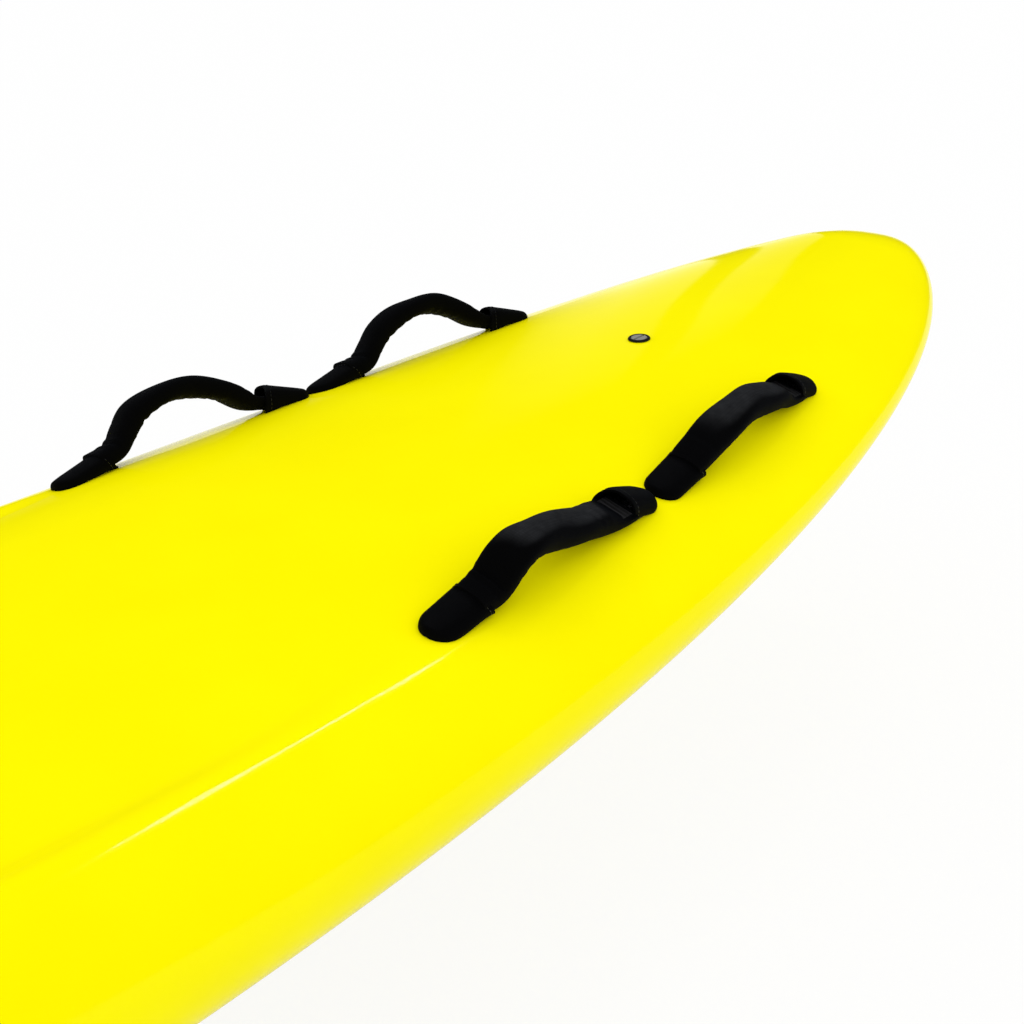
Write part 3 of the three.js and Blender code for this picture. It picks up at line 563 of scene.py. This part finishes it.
def set_on_points(tree, source, sink, thing, material):
    """Sets a thing on each marked point, turned to it, and joins it to the rest."""
    surface = source.outputs["Geometry"]
    mark, off, along = (
        add_node(tree, "GeometryNodeInputNamedAttribute", {"Name": name}, data_type=kind).outputs[0]
        for name, kind in (("mark", "BOOLEAN"), ("off", "FLOAT_VECTOR"), ("along", "FLOAT_VECTOR")))
    kind = "FunctionNodeAlignRotationToVector"
    turn = add_node(tree, kind, {"Vector": off}, axis="Z").outputs[0]
    turn = add_node(tree, kind, {"Rotation": turn, "Vector": along}, axis="X", pivot_axis="Z").outputs[0]
    sockets = {"Points": surface, "Selection": mark, "Instance": thing, "Rotation": turn}
    placed = add_node(tree, "GeometryNodeInstanceOnPoints", sockets)
    real = add_node(tree, "GeometryNodeRealizeInstances", {"Geometry": placed.outputs[0]})
    dyed = add_node(tree, "GeometryNodeSetMaterial", {"Geometry": real.outputs[0], "Material": material})
    sockets = {"Geometry": surface, "Selection": mark}
    rest = add_node(tree, "GeometryNodeDeleteGeometry", sockets, domain="POINT")
    both = add_node(tree, "GeometryNodeJoinGeometry")
    for part in (dyed, rest):
        tree.links.new(part.outputs[0], both.inputs[0])
    tree.links.new(both.outputs[0], sink.inputs[0])


def new_tree(name, sizes):
    """Geometry node tree with a named input for each size, and its input and output nodes."""
    tree = bpy.data.node_groups.new(name, "GeometryNodeTree")
    for way in ("INPUT", "OUTPUT"):
        tree.interface.new_socket("Geometry", in_out=way, socket_type="NodeSocketGeometry")
    for label, value in sizes.items():
        socket = tree.interface.new_socket(label, in_out="INPUT", socket_type="NodeSocketFloat")
        socket.default_value = value
    return tree, add_node(tree, "NodeGroupInput"), add_node(tree, "NodeGroupOutput")


stitch_sizes = {"Stitch length": 0.0028, "Thread thickness": 0.0006}
stitches, source, sink = new_tree("lockstitches", stitch_sizes)
bead = add_node(stitches, "GeometryNodeMeshUVSphere", {"Segments": 8, "Rings": 5, "Radius": 0.5})
thick = source.outputs["Thread thickness"]
sockets = {"X": source.outputs["Stitch length"], "Y": thick, "Z": thick}
size = add_node(stitches, "ShaderNodeCombineXYZ", sockets)
sockets = {"Geometry": bead.outputs["Mesh"], "Scale": size.outputs[0]}
stitch = add_node(stitches, "GeometryNodeTransform", sockets)
set_on_points(stitches, source, sink, stitch.outputs[0], thread)


def dress(piece, tree, sizes, places, off, along):
    """Sets what a tree makes in these sizes at places on a piece, then leaves a plain mesh."""
    mesh = piece.data
    start = len(mesh.vertices)
    mesh.vertices.add(len(places))
    total = len(mesh.vertices)
    for vertex, spot in zip(mesh.vertices[start:], places):
        vertex.co = spot
    mesh.attributes.new("mark", "BOOLEAN", "POINT").data.foreach_set("value", np.arange(total) >= start)
    for label, ways in (("off", off), ("along", along)):
        every = np.zeros((total, 3))
        every[start:] = ways
        mesh.attributes.new(label, "FLOAT_VECTOR", "POINT").data.foreach_set("vector", every.ravel())
    made = piece.modifiers.new(tree.name, "NODES")
    made.node_group = tree
    for item in tree.interface.items_tree:
        if item.name in sizes:
            made[item.identifier] = sizes[item.name]
    settle(piece)
    for label in ("mark", "off", "along"):
        piece.data.attributes.remove(piece.data.attributes[label])


def sew(piece, frame, places, off, along):
    """Stitches at places in a handle's frame, which stand off the cloth and lie along the row."""
    turn = frame.to_3x3()
    dress(piece, stitches, stitch_sizes, moved(frame, places), moved(turn, off), moved(turn, along))


def add_cut_map(piece, u, v):
    """UV map in metres that follows the cloth, from a value of u and v at each point."""
    layer = piece.data.uv_layers.new(name="cut")
    corners = np.zeros(len(piece.data.loops), int)
    piece.data.loops.foreach_get("vertex_index", corners)
    layer.data.foreach_set("uv", np.stack([u[corners], v[corners]], axis=1).ravel())


def paint_top_light(piece, most):
    """Paints top light: the more squarely a point faces the sky, the lighter it is painted, up to most."""
    ways = np.zeros(3 * len(piece.data.vertices))
    piece.data.vertex_normals.foreach_get("vector", ways)
    painted_light = most * ease(ways[2::3], top_light_lean, 1.0)
    piece.data.attributes.new("painted_top_light", "FLOAT", "POINT").data.foreach_set("value", painted_light)


# Painted top light on the sleeves: the upward lean where it starts, and the shares of a sleeve over which
# it rises from the rear end and falls away to the front, leaving painted shade at both ends by the hoods
top_light_lean, top_light_rises, top_light_falls = 0.78, (0.16, 0.34), (0.8, 0.92)
seam_stitches, seam_ends = 46, 4  # stitches of a seam from end to end, and how many an end leaves out
zigzag_ahead, zigzag_aside = 0.6, 0.8
underside = sleeve_sides * 3 // 4
for seed, (name, front_x, side, bow) in enumerate(handles):
    at = handle_frame(front_x, side)
    outer, inner = sleeve_points(bow, at, seed)
    points = np.concatenate([outer, inner[::-1]]).reshape(-1, 3)
    sleeve = new_piece(f"{name}_padded_sleeve", moved(at, points),
                       tube_faces(2 * sleeve_rings, sleeve_sides, closed=True))
    turn = np.tile(np.arange(sleeve_sides) / sleeve_sides, 2 * sleeve_rings) * sleeve_girth
    run = np.arange(sleeve_rings) / sleeve_rings * sleeve_run
    add_cut_map(sleeve, turn, np.repeat(np.concatenate([run, run[::-1]]), sleeve_sides))
    tidy(sleeve)
    # Painted shade at the sleeve's ends by the hoods: the painted top light fades out towards both
    share = np.arange(sleeve_rings) / (sleeve_rings - 1)
    most = ease(share, *top_light_rises) * (1 - ease(share, *top_light_falls))
    paint_top_light(sleeve, np.repeat(np.concatenate([most, most[::-1]]), sleeve_sides))
    coat(neoprene, sleeve)
    # The seam: zigzag stitches 4 mm apart along the middle of the underside
    seam = spaced((outer[:, underside - 1] + outer[:, underside]) / 2, seam_stitches)[seam_ends:-seam_ends]
    way = np.gradient(seam, axis=0)
    way /= np.linalg.norm(way, axis=1)[:, None]
    lean = np.where(np.arange(len(seam)) % 2, zigzag_aside, -zigzag_aside)[:, None] * np.array([0, 1, 0])
    down = np.stack([way[:, 2], np.zeros(len(seam)), -way[:, 0]], axis=1)
    sew(sleeve, at, seam, down, zigzag_ahead * way + lean)
    hand_over(sleeve, 60, "board", "neoprene", f"{name}_sleeve")

# Strap: woven nylon webbing, 25 mm wide, across which run ribs 2 mm wide and 2 mm apart
rib = 0.002
sockets = {"Scale": wave_band / rib, "Distortion": 0.5}
webbing = patterned("woven_nylon_webbing", {"Roughness": 0.8, "IOR": 1.5}, sockets, 0.0003,
                    "ShaderNodeTexWave", tones=(0x0B0B0D, 0x1C1C20), bands_direction="X")
coat(webbing, *named("_strap"))


# Hoods: a rounded slipper of the same neoprene over each end of a strap, hiding its screw, with
# a sole under the strap. Its mouth is hemmed. Behind it hugs the sleeve as that rises; in front it
# stands a little open over the flattened sleeve and reaches further back inboard.

hood_wall, hood_power, hood_crowding = 0.002, 2.3, 1.5
tip_width, tip_height, tip_radius, tip_blunt = 0.030, 0.0055, 0.015, 0.004
# By end, aft and fore: how long the foot and the top are, and how much longer the foot is inboard
hood_lengths = {-1: (0.056, 0.044, 0.0), 1: (0.040, 0.043, 0.014)}
# By end: half the mouth's width, its height over the strap, and how far it is shifted inboard
hood_mouths = {-1: (0.0168, 0.0092, 0.0), 1: (0.0158, 0.0118, 0.0016)}
# By end: the most painted top light on a hood; the aft hoods are painted darker
hood_top_lights = {-1: 0.08, 1: 0.25}
hood_lip, hood_lip_length, deck_gap, foot_rise = 0.0004, 0.003, 0.0003, 0.9
hood_rows, hood_columns, hood_girth = 44, 40, 0.06
sole_rows, sole_columns, sole_reach, sole_gap = 20, 12, 0.038, 0.0002
hem_inset, hem_stitches, hem_columns, hem_step = 0.0045, 20, 200, 0.05


def hood_ring(bow, frame, side, end, sink, share_in, columns):
    """Points across a hood's sheet at a share of the way from its tip to its mouth, sink deep."""
    length, top_length, inboard_length = hood_lengths[end]
    mouth_half, mouth_rise, shift = hood_mouths[end]
    end_height = bow[-1 if end > 0 else 0] * grip_height
    turn = np.pi * np.arange(columns + 1) / columns
    inboard = np.clip(-side * np.cos(turn), 0, 1) ** hood_crowding
    mouth = length + (top_length - length) * np.sin(turn) + inboard_length * inboard
    inward = sink + (mouth - sink) * share_in
    share = np.clip(inward / length, 0, 1)
    plan, blunt = (quarter_arc(np.clip(1 - (inward - sink) / (reach - sink), 0, 1))
                   for reach in (tip_radius, tip_blunt))
    lip = hood_lip * np.exp(-((mouth - inward) / hood_lip_length) ** 2)
    half = (tip_width / 2 + (mouth_half - tip_width / 2) * share - sink) * plan + lip
    top = (tip_height + (end_height + mouth_rise - tip_height) * share - sink) * blunt + lip
    middle = end_height * ease(share, 0, 1) * foot_rise * plan
    x = end * (handle_length / 2 - inward)
    feet = np.stack([x, half * np.sign(np.cos(turn)), np.zeros_like(x)], axis=1)
    base = floor_of(frame, feet) + deck_gap
    drop = np.clip((middle - base) / np.maximum(top - middle, 1e-6), 0, 1)
    start = np.arcsin(np.clip(drop, 0, 0.98) ** (hood_power / 2))
    angle = -start + (np.pi + 2 * start) * turn / np.pi
    y = half * bulge(np.cos(angle), hood_power) - side * shift * share
    z = middle + (top - middle) * bulge(np.sin(angle), hood_power)
    return np.stack([x, y, z], axis=1)


def sole_points(frame, end, feet):
    """Points of the sole that the strap lies on, between the lines of a hood's two feet."""
    inward = np.linspace(hood_wall / 2, sole_reach, sole_rows)
    edges = [np.interp(inward, handle_length / 2 - end * foot[:, 0], foot[:, 1]) for foot in feet]
    across = np.linspace(0, 1, sole_columns)
    x = np.repeat(end * (handle_length / 2 - inward), sole_columns)
    y = (edges[0][:, None] * (1 - across) + edges[1][:, None] * across).ravel()
    points = np.stack([x, y, np.zeros_like(x)], axis=1)
    points[:, 2] = floor_of(frame, points) + hood_wall / 2 + sole_gap
    return points


def sheet_faces(rows, columns, flip=False):
    """Quads of a sheet whose points lie in rows and columns."""
    faces = [(i * columns + j, i * columns + j + 1, (i + 1) * columns + j + 1, (i + 1) * columns + j)
             for i in range(rows - 1) for j in range(columns - 1)]
    return [face[::-1] for face in faces] if flip else faces


for name, front_x, side, bow in handles:
    at = handle_frame(front_x, side)
    for end, where in ((-1, "aft"), (1, "fore")):
        foot_length = hood_lengths[end][0]
        steps = (np.arange(hood_rows + 1) / hood_rows) ** hood_crowding
        sheet = np.array([hood_ring(bow, at, side, end, hood_wall / 2, t, hood_columns) for t in steps])
        sole = sole_points(at, end, (sheet[:, 0], sheet[:, -1]))
        upper = sheet_faces(hood_rows + 1, hood_columns + 1)
        start = (hood_rows + 1) * (hood_columns + 1)
        lower = [tuple(start + k for k in face) for face in sheet_faces(sole_rows, sole_columns)]
        points = np.concatenate([sheet.reshape(-1, 3), sole])
        hood = new_piece(f"{name}_hood_cover_{where}", moved(at, points), upper + lower)
        columns = np.tile(np.arange(hood_columns + 1), hood_rows + 1) / hood_columns * hood_girth
        rows = np.repeat(steps, hood_columns + 1) * foot_length
        add_cut_map(hood, np.concatenate([columns, sole[:, 1]]), np.concatenate([rows, sole[:, 0]]))
        tidy(hood)
        add_wall(hood, hood_wall - sole_gap, 0)
        round_rims(hood, 0.0006, 3, 50)
        settle(hood)
        coat(neoprene, hood)
        # Painted highlight where the hood faces the sky
        paint_top_light(hood, hood_top_lights[end])
        # The hem: a row of stitches 4.5 mm in from the mouth
        hem_share = 1 - hem_inset / foot_length
        hem, back = (spaced(hood_ring(bow, at, side, end, 0.0001, t, hem_columns), hem_stitches)[1:-1]
                     for t in (hem_share, hem_share - hem_step))
        way = np.gradient(hem, axis=0)
        off = np.cross(way, back - hem) * end
        off /= np.linalg.norm(off, axis=1)[:, None]
        sew(hood, at, hem, off, way)
        hand_over(hood, 60, "board", "neoprene", f"{name}_hood_{where}")

# Screws: stainless steel pan heads, turned and then polished, with fine scratches left
scratch_size = 0.0006
steel = {"Metallic": 1.0, "Base Color": linear(0xC2C4C8)}
stainless = patterned("turned_stainless_steel", steel, {"Scale": 1 / scratch_size, "Detail": 2.0},
                      0.00002, rough=(0.18, 0.38))
coat(stainless, *named("fin_screw", "_screw_aft", "_screw_fore"))


# Vent plug: a black moulded body set in the nose with a flange on the deck, and a slotted
# stainless screw in it that lets the board breathe when it is backed off. A rubber ring under the
# screw's head seals it.

def turned(name, outline, sides=64):
    """Closed solid of revolution about Z from an outline of radius and height, in millimetres."""
    points, rings = [], []
    for radius, height in outline:
        count = sides if radius else 1
        rings.append((len(points), count))
        points += [(x, y, height / 1000) for x, y in circle(radius / 1000, sides)[:count]]
    pairs = list(zip(rings, rings[1:]))
    if outline[0][0] != 0:
        pairs.append((rings[-1], rings[0]))
    faces = []
    for (a, many_a), (b, many_b) in pairs:
        for i in range(sides):
            j = (i + 1) % sides
            corners = [a + i % many_a, a + j % many_a, b + j % many_b, b + i % many_b]
            faces.append(tuple(dict.fromkeys(corners)))
    return new_piece(name, points, faces)


def round_edges(outline, radius, steps=4, room=2.2):
    """The outline with its corners rounded but for those on the axis, in millimetres."""
    made = []
    for i, corner in enumerate(outline):
        before, after = np.array(outline[i - 1]), np.array(outline[(i + 1) % len(outline)])
        corner = np.array(corner, float)
        if corner[0] == 0:
            made.append(tuple(corner))
            continue
        a, b = before - corner, after - corner
        long_a, long_b = np.linalg.norm(a), np.linalg.norm(b)
        reach = min(radius, long_a / room, long_b / room)
        p, q = corner + a / long_a * reach, corner + b / long_b * reach
        for t in np.arange(steps + 1) / steps:
            made.append(tuple((1 - t) ** 2 * p + 2 * t * (1 - t) * corner + t ** 2 * q))
    return made


# Radius and height of each corner in millimetres, the deck at 0
body_outline = [(4.35, -25.7), (8.5, -25.7), (8.5, 0.3), (10, 0.3), (10, 1.2), (9.1, 2.1), (7.65, 2.1),
                (7.65, -2.1), (4.35, -2.1)]
vent_body = turned("vent_flange", round_edges(body_outline, 0.25))
screw_outline = [(0, 2.1), (6.7, 2.1), (7.3, 1.5), (7.3, -0.3), (4, -0.3), (4, -13.3), (2, -15.3),
                 (0, -15.3)]
vent_screw = turned("vent_plug_screw", round_edges(screw_outline, 0.2))
tidy(vent_screw)
cut(vent_screw, brick("slot_cut", (-0.02, -0.001, 0.001), (0.02, 0.001, 0.005)))
ring_radius, ring_height, ring_cord = 5.3, -1.2, 0.6
ring_outline = [(ring_radius + x, ring_height + z) for x, z in circle(ring_cord, 24)]
vent_ring = turned("vent_seal", ring_outline)
# Black ABS: injection moulded, with a fine spark-eroded grain from the tool
tool_grain = 0.0008
abs_black = patterned("moulded_black_abs", {"Roughness": 0.42, "IOR": 1.53},
                      {"Scale": 1 / tool_grain, "Detail": 2.0}, 0.00004, tones=(0x0A0A0C, 0x141417))
# Nitrile rubber: moulded, dull, with a bloom of grey on its black
bloom_size = 0.002
nitrile = patterned("nitrile_rubber", {"Roughness": 0.7, "IOR": 1.52},
                    {"Scale": 1 / bloom_size, "Detail": 3.0}, 0.00003, tones=(0x0C0C0C, 0x1D1D1E))
# Brushed stainless steel: the head's face is rubbed one way, which leaves lines 0.4 mm apart, and
# the sea has left a dull grey film on it
brush_pitch = 0.0004
filmed = {"Metallic": 0.35, "Base Color": linear(0xA4A49C)}
brushed = patterned("brushed_stainless_steel", filmed, {"Scale": 1 / brush_pitch, "Detail": 3.0},
                    0.00003, rough=(0.3, 0.55), stretch=(0.03, 1.0, 1.0))


def fit(frame, degrees, pieces):
    """Puts pieces in their place, gives each its material and body, and hides the CAD node it stands for.
    """
    for piece, material, body, slot, node in pieces:
        piece.data.transform(frame)
        tidy(piece)
        coat(material, piece)
        hand_over(piece, degrees, body, slot, node)


fit(vent_frame, 50, [
    (vent_body, abs_black, "board", "black_plastic", "vent_body"),
    (vent_screw, brushed, "vent_screw", "stainless", "vent_screw"),
    (vent_ring, nitrile, "vent_ring", "rubber", "vent_ring"),
])


# Grip pads: sheets of closed-cell foam glued to the dish's floor for chest and knees, split along
# the middle. Their face is pressed into small diamonds that grip a wet suit and let water run off.

pad_rear, pad_front, pad_near, pad_far, pad_corner = -0.84, 0.12, 0.004, 0.16, 0.06
pad_base, pad_glue, pad_rows, pad_columns = 0.0036, 0.0003, 193, 33
stud_height, stud_pitch, stud_size, stud_top, stud_lift = 0.0014, 0.017, 0.0074, 0.72, 0.0001
# How far the outermost studs keep from the pad's rear, front, inner and outer edge
studs_rear, studs_front, studs_near, studs_far = 0.014, 0.008, 0.012, 0.01


def pad_reach(x):
    """How far out a pad reaches at x, with its outer corners rounded."""
    inward = np.clip(np.minimum(x - pad_rear, pad_front - x), 0, pad_corner)
    return pad_far - pad_corner + pad_corner * quarter_arc(1 - inward / pad_corner)


# EVA foam: heat-pressed closed-cell sheet, charcoal, its skin faintly pitted by 1 mm cells
cell, shade_size = 0.001, 0.05
sockets = {"Roughness": 0.88, "IOR": 1.45, "Specular IOR Level": 0.3}
eva, tree, shader, place = new_material("pressed_eva_foam", sockets)
pits = add_node(tree, "ShaderNodeTexVoronoi", {"Vector": place, "Scale": 1 / cell}, feature="F1")
shade = add_node(tree, "ShaderNodeTexNoise", {"Vector": place, "Scale": 1 / shade_size, "Detail": 4.0})
two_tone(tree, shader, shade.outputs["Fac"], 0x303338, 0x41454B, 0.3, 0.7)
relief(tree, shader, pits.outputs["Distance"], 0.0001)
stud_sizes = {"Stud size": stud_size, "Stud height": stud_height}
diamonds, source, sink = new_tree("pressed_diamonds", stud_sizes)
wide, high = source.outputs["Stud size"], source.outputs["Stud height"]
top = add_node(diamonds, "ShaderNodeMath", {0: wide, 1: stud_top}, operation="MULTIPLY").outputs[0]
sockets = {"Vertices": 4, "Radius Top": top, "Radius Bottom": wide, "Depth": high}
stud = add_node(diamonds, "GeometryNodeMeshCone", sockets)
set_on_points(diamonds, source, sink, stud.outputs["Mesh"], eva)
for side, name in ((1, "port_pad"), (-1, "starboard_pad")):
    points = []
    for x in np.linspace(pad_rear, pad_front, pad_rows):
        for y in side * np.linspace(pad_near, pad_reach(x), pad_columns):
            points.append((x, y, deck_height(x, y) + pad_glue))
    pad = new_piece(f"{name}_sheet", points, sheet_faces(pad_rows, pad_columns, flip=side < 0))
    add_wall(pad, pad_base, 1)
    round_rims(pad, 0.0012, 3, 50)
    settle(pad)
    coat(eva, pad)
    studs = []
    for i, x in enumerate(np.arange(pad_rear + studs_rear, pad_front - studs_front, stud_pitch / 2)):
        start = pad_near + studs_near + (stud_pitch / 2 if i % 2 else 0)
        studs += [(x, side * y) for y in np.arange(start, pad_reach(x) - studs_far, stud_pitch)]
    x, y = np.array(studs).T
    off = np.stack(np.broadcast_arrays(*off_deck(x, y)), axis=1)
    places = np.stack([x, y, deck_height(x, y) + pad_base + stud_lift], axis=1)
    dress(pad, diamonds, stud_sizes, places, off, [(1, 0, 0)] * len(x))
    hand_over(pad, 35, "board", "pad_foam", name)


# Fin: one moulding of glass-filled nylon with a tab that slides in a slotted box glassed into the
# tail. A brass pin holds its rear in the box's groove, and a screw draws a brass plate up in front.

fin_base, fin_tip, fin_depth, fin_gap = 0.16, 0.042, 0.15, 0.0005
fin_thickness, fin_thinning = 0.009, 0.55
fin_rake, rake_power, lead_sweep = 0.095, 1.6, 0.35
tip_least, tip_power = 0.3, 3.6
foil_along = [0, 0.02, 0.08, 0.18, 0.3, 0.5, 0.65, 0.85, 1]
foil_half = [0, 0.3, 0.6, 0.88, 1, 0.9, 0.72, 0.36, 0.1]
fin_rings, foil_points = 40, 24
along = (1 - np.cos(np.pi * np.arange(foil_points + 1) / foil_points)) / 2
half = np.interp(along, foil_along, foil_half)
foil = [*zip(along, half), *zip(along[::-1][:-1], -half[::-1][:-1])]
blade_points = []
for down in np.sin(np.pi / 2 * np.arange(fin_rings + 1) / fin_rings):
    rounding = tip_least + (1 - tip_least) * quarter_arc(np.clip(2 * down - 1, 0, 1), tip_power)
    chord = (fin_base + (fin_tip - fin_base) * down) * rounding
    thick = fin_thickness * (1 - fin_thinning * down)
    lead = fin_base / 2 - fin_rake * down ** rake_power - (fin_base - chord) * lead_sweep
    blade_points += [(lead - x * chord, y * thick / 2, -fin_gap - down * fin_depth) for x, y in foil]
sides = len(foil)
faces = tube_faces(fin_rings + 1, sides)
faces += [tuple(range(sides)), tuple(range(fin_rings * sides, (fin_rings + 1) * sides))[::-1]]
fin = new_piece("fin_blade", blade_points, faces)
tidy(fin)
tab_half, tab_height = 0.0046, 0.022
tab = brick("tab", (-0.08, -tab_half, -0.0006), (0.08, tab_half, tab_height))
lug = brick("lug", (0.07, -tab_half, 0.004), (0.102, tab_half, 0.007))
cut(fin, tab, lug, operation="UNION")
pin_at, pin_room_radius, screw_at, screw_room_radius = (-0.066, 0, 0.015), 0.0028, (0.092, 0, 0), 0.0023
across = Matrix.Translation(pin_at) @ Matrix.Rotation(math.pi / 2, 4, "X")
pin_room = prism("pin_room", circle(pin_room_radius), -0.02, 0.02, across)
screw_room = prism("screw_room", circle(screw_room_radius), -0.01, 0.03, Matrix.Translation(screw_at))
cut(fin, pin_room, screw_room)
box_height, slot_length, slot_width, slot_depth = 0.03, 0.246, 0.01, 0.025
fin_box = prism("fin_slot_box", stadium(fin_box_length, fin_box_width), 0, box_height)
slot_room = prism("slot_room", stadium(slot_length, slot_width), -0.01, slot_depth)
groove = brick("groove", (-0.118, -0.007, 0.012), (0.118, 0.007, 0.018))
cut(fin_box, slot_room, groove)
round_rims(fin_box, 0.0004, 2, 60)
settle(fin_box)
# Glass-filled nylon: injection moulded, satin black, with flow marks that run down the blade
flow_width = 0.006
nylon = patterned("glass_filled_nylon", {"Roughness": 0.36, "IOR": 1.53},
                  {"Scale": 1 / flow_width, "Detail": 5.0}, 0.00004,
                  tones=(0x101012, 0x1C1C1F, 0.3, 0.7), stretch=(1.0, 1.0, 0.2))
# Drawn brass: bright where it was cut, dulled a little in spots 4 mm across
stain_size = 0.004
brass = patterned("drawn_brass", {"Metallic": 1.0, "Roughness": 0.3},
                  {"Scale": 1 / stain_size, "Detail": 3.0}, 0.00002, tones=(0xA98742, 0xC9A85A))
coat(brass, *named("fin_pin", "fin_plate"))
fit(fin_frame, 35, [
    (fin, nylon, "fin", "fin_plastic", "fin"),
    (fin_box, abs_black, "board", "black_plastic", "fin_box"),
])


# Studio: white paper under the board and a pale surround, with little above it for the gloss to
# mirror but a tall window in two panes, low in the distance off the nose. A narrow light high in
# front draws the glint along the rail's ridge.

floor_reach, floor_seen, floor_mirrored = 30, 0.9, 0.35
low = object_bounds()[0].z
corners = [(x * floor_reach, y * floor_reach, low) for x, y in ((-1, -1), (1, -1), (1, 1), (-1, 1))]
floor = new_piece("floor", corners, [(0, 1, 2, 3)])
sockets = {"Roughness": 0.9, "Specular IOR Level": 0.1, "Base Color": linear(0xF3F3F3)}
paper, tree, shader, place = new_material("white_paper", sockets)
glow = add_node(tree, "ShaderNodeEmission", {"Color": (1, 1, 1, 1), "Strength": 1.0})


def ray_kinds(tree):
    """Outputs that are 1 for what the camera sees, and for what shows in gloss or through glass."""
    ray = add_node(tree, "ShaderNodeLightPath").outputs
    sockets = {0: ray["Is Glossy Ray"], 1: ray["Is Transmission Ray"]}
    return ray["Is Camera Ray"], add_node(tree, "ShaderNodeMath", sockets, operation="MAXIMUM").outputs[0]


camera_ray, mirrored = ray_kinds(tree)
share = add_node(tree, "ShaderNodeMath", {0: mirrored, 1: floor_mirrored}, operation="MULTIPLY")
sockets = {0: camera_ray, 1: floor_seen, 2: share.outputs[0]}
share = add_node(tree, "ShaderNodeMath", sockets, operation="MULTIPLY_ADD")
sockets = {"Fac": share.outputs[0], 1: shader.outputs[0], 2: glow.outputs[0]}
blend = add_node(tree, "ShaderNodeMixShader", sockets)
tree.links.new(blend.outputs[0], tree.nodes["Material Output"].inputs["Surface"])
coat(paper, floor)

world = bpy.data.worlds.new("studio_surround")
bpy.context.scene.world = world
world.use_nodes = True
tree = world.node_tree
tree.nodes.clear()
camera_ray, mirrored = ray_kinds(tree)
place = add_node(tree, "ShaderNodeTexCoord").outputs["Object"]
toward = add_node(tree, "ShaderNodeSeparateXYZ", {0: place}).outputs
azimuth = add_node(tree, "ShaderNodeMath", {0: toward["Y"], 1: toward["X"]}, operation="ARCTAN2").outputs[0]


def between(tree, value, *degrees):
    """Rises from 0 to 1 between the first two angles and falls back between the last two."""
    a, b, c, d = map(math.radians, degrees)
    rise = add_node(tree, "ShaderNodeMapRange", {"Value": value, "From Min": a, "From Max": b})
    fall = add_node(tree, "ShaderNodeMapRange", {"Value": value, "From Min": d, "From Max": c})
    sockets = {0: rise.outputs["Result"], 1: fall.outputs["Result"]}
    return add_node(tree, "ShaderNodeMath", sockets, operation="MULTIPLY").outputs[0]


# The window's panes by azimuth; they are brightest 4 degrees up and end at 26. The surround is a
# faint haze at the horizon, and nearly black higher up.
fill_light, haze_height, haze_low, haze_high = 1.05, 0.1, 0.15, 0.012
pane_a, pane_b = (34.2, 34.4, 36.9, 37.1), (38.5, 38.7, 41.5, 45)
sockets = {0: between(tree, azimuth, *pane_a), 1: between(tree, azimuth, *pane_b)}
panes = add_node(tree, "ShaderNodeMath", sockets, operation="ADD").outputs[0]
low, high = (math.sin(math.radians(degrees)) for degrees in (4, 26))
sockets = {"Value": toward["Z"], "From Min": low, "From Max": high, "To Min": 1.0, "To Max": 0.0}
fade = add_node(tree, "ShaderNodeMapRange", sockets)
above = add_node(tree, "ShaderNodeMath", {0: toward["Z"], 1: 0.0}, operation="GREATER_THAN")
window = panes
for share in (fade.outputs["Result"], above.outputs[0]):
    window = add_node(tree, "ShaderNodeMath", {0: window, 1: share}, operation="MULTIPLY").outputs[0]
sockets = {"Value": toward["Z"], "From Max": haze_height, "To Min": haze_low, "To Max": haze_high}
haze = add_node(tree, "ShaderNodeMapRange", sockets)
sky = add_node(tree, "ShaderNodeMath", {0: haze.outputs["Result"], 1: window}, operation="ADD")
fill = add_node(tree, "ShaderNodeMix", {0: camera_ray, 2: fill_light, 3: 1.0})
light = add_node(tree, "ShaderNodeMix", {0: mirrored, 2: fill.outputs[0], 3: sky.outputs[0]})
surround = add_node(tree, "ShaderNodeBackground", {"Color": (1, 1, 1, 1), "Strength": light.outputs[0]})
add_node(tree, "ShaderNodeOutputWorld", {"Surface": surround.outputs[0]})


def way_to(azimuth, rise):
    """Unit vector towards an azimuth and a height over the horizon, in degrees."""
    azimuth, rise = math.radians(azimuth), math.radians(rise)
    return Vector((math.cos(rise) * math.cos(azimuth), math.cos(rise) * math.sin(azimuth), math.sin(rise)))


# The light is 20 m off and 0.7 m wide, and lies between these two ways from the ridge
ridge, key_distance, key_width, key_power = Vector((0.5, -0.228, 0.158)), 20, 0.7, 190
ends = [ridge + key_distance * way_to(*way) for way in ((8.0, 52.0), (18.5, 56.0))]
lamp = bpy.data.lights.new("key", "AREA")
lamp.shape, lamp.size, lamp.size_y = "RECTANGLE", (ends[1] - ends[0]).length, key_width
lamp.energy = key_power
key = bpy.data.objects.new("key", lamp)
bpy.context.scene.collection.objects.link(key)
middle = (ends[0] + ends[1]) / 2
back = (middle - ridge).normalized()
along = (ends[1] - ends[0]).normalized()
along = (along - back * along.dot(back)).normalized()
key.matrix_world = standing(middle, along, back.cross(along), back)

# Camera: above the board's middle, looking over the starboard rail to the nose, as in the picture
camera = bpy.data.cameras.new("camera")
camera.sensor_width, camera.lens = 36.0, 63.24
view = bpy.data.objects.new("camera", camera)
bpy.context.scene.collection.objects.link(view)
camera_place, yaw, pitch, roll = (-0.0467, -0.9365, 0.68), 41.739, 22.294, -0.886
view.matrix_world = Matrix.Translation(camera_place)
for degrees, axis in ((yaw - 90, "Z"), (90 - pitch, "X"), (roll, "Z")):
    view.matrix_world = view.matrix_world @ Matrix.Rotation(math.radians(degrees), 4, axis)
bpy.context.scene.camera = view
bpy.context.scene.view_settings.view_transform = "Standard"
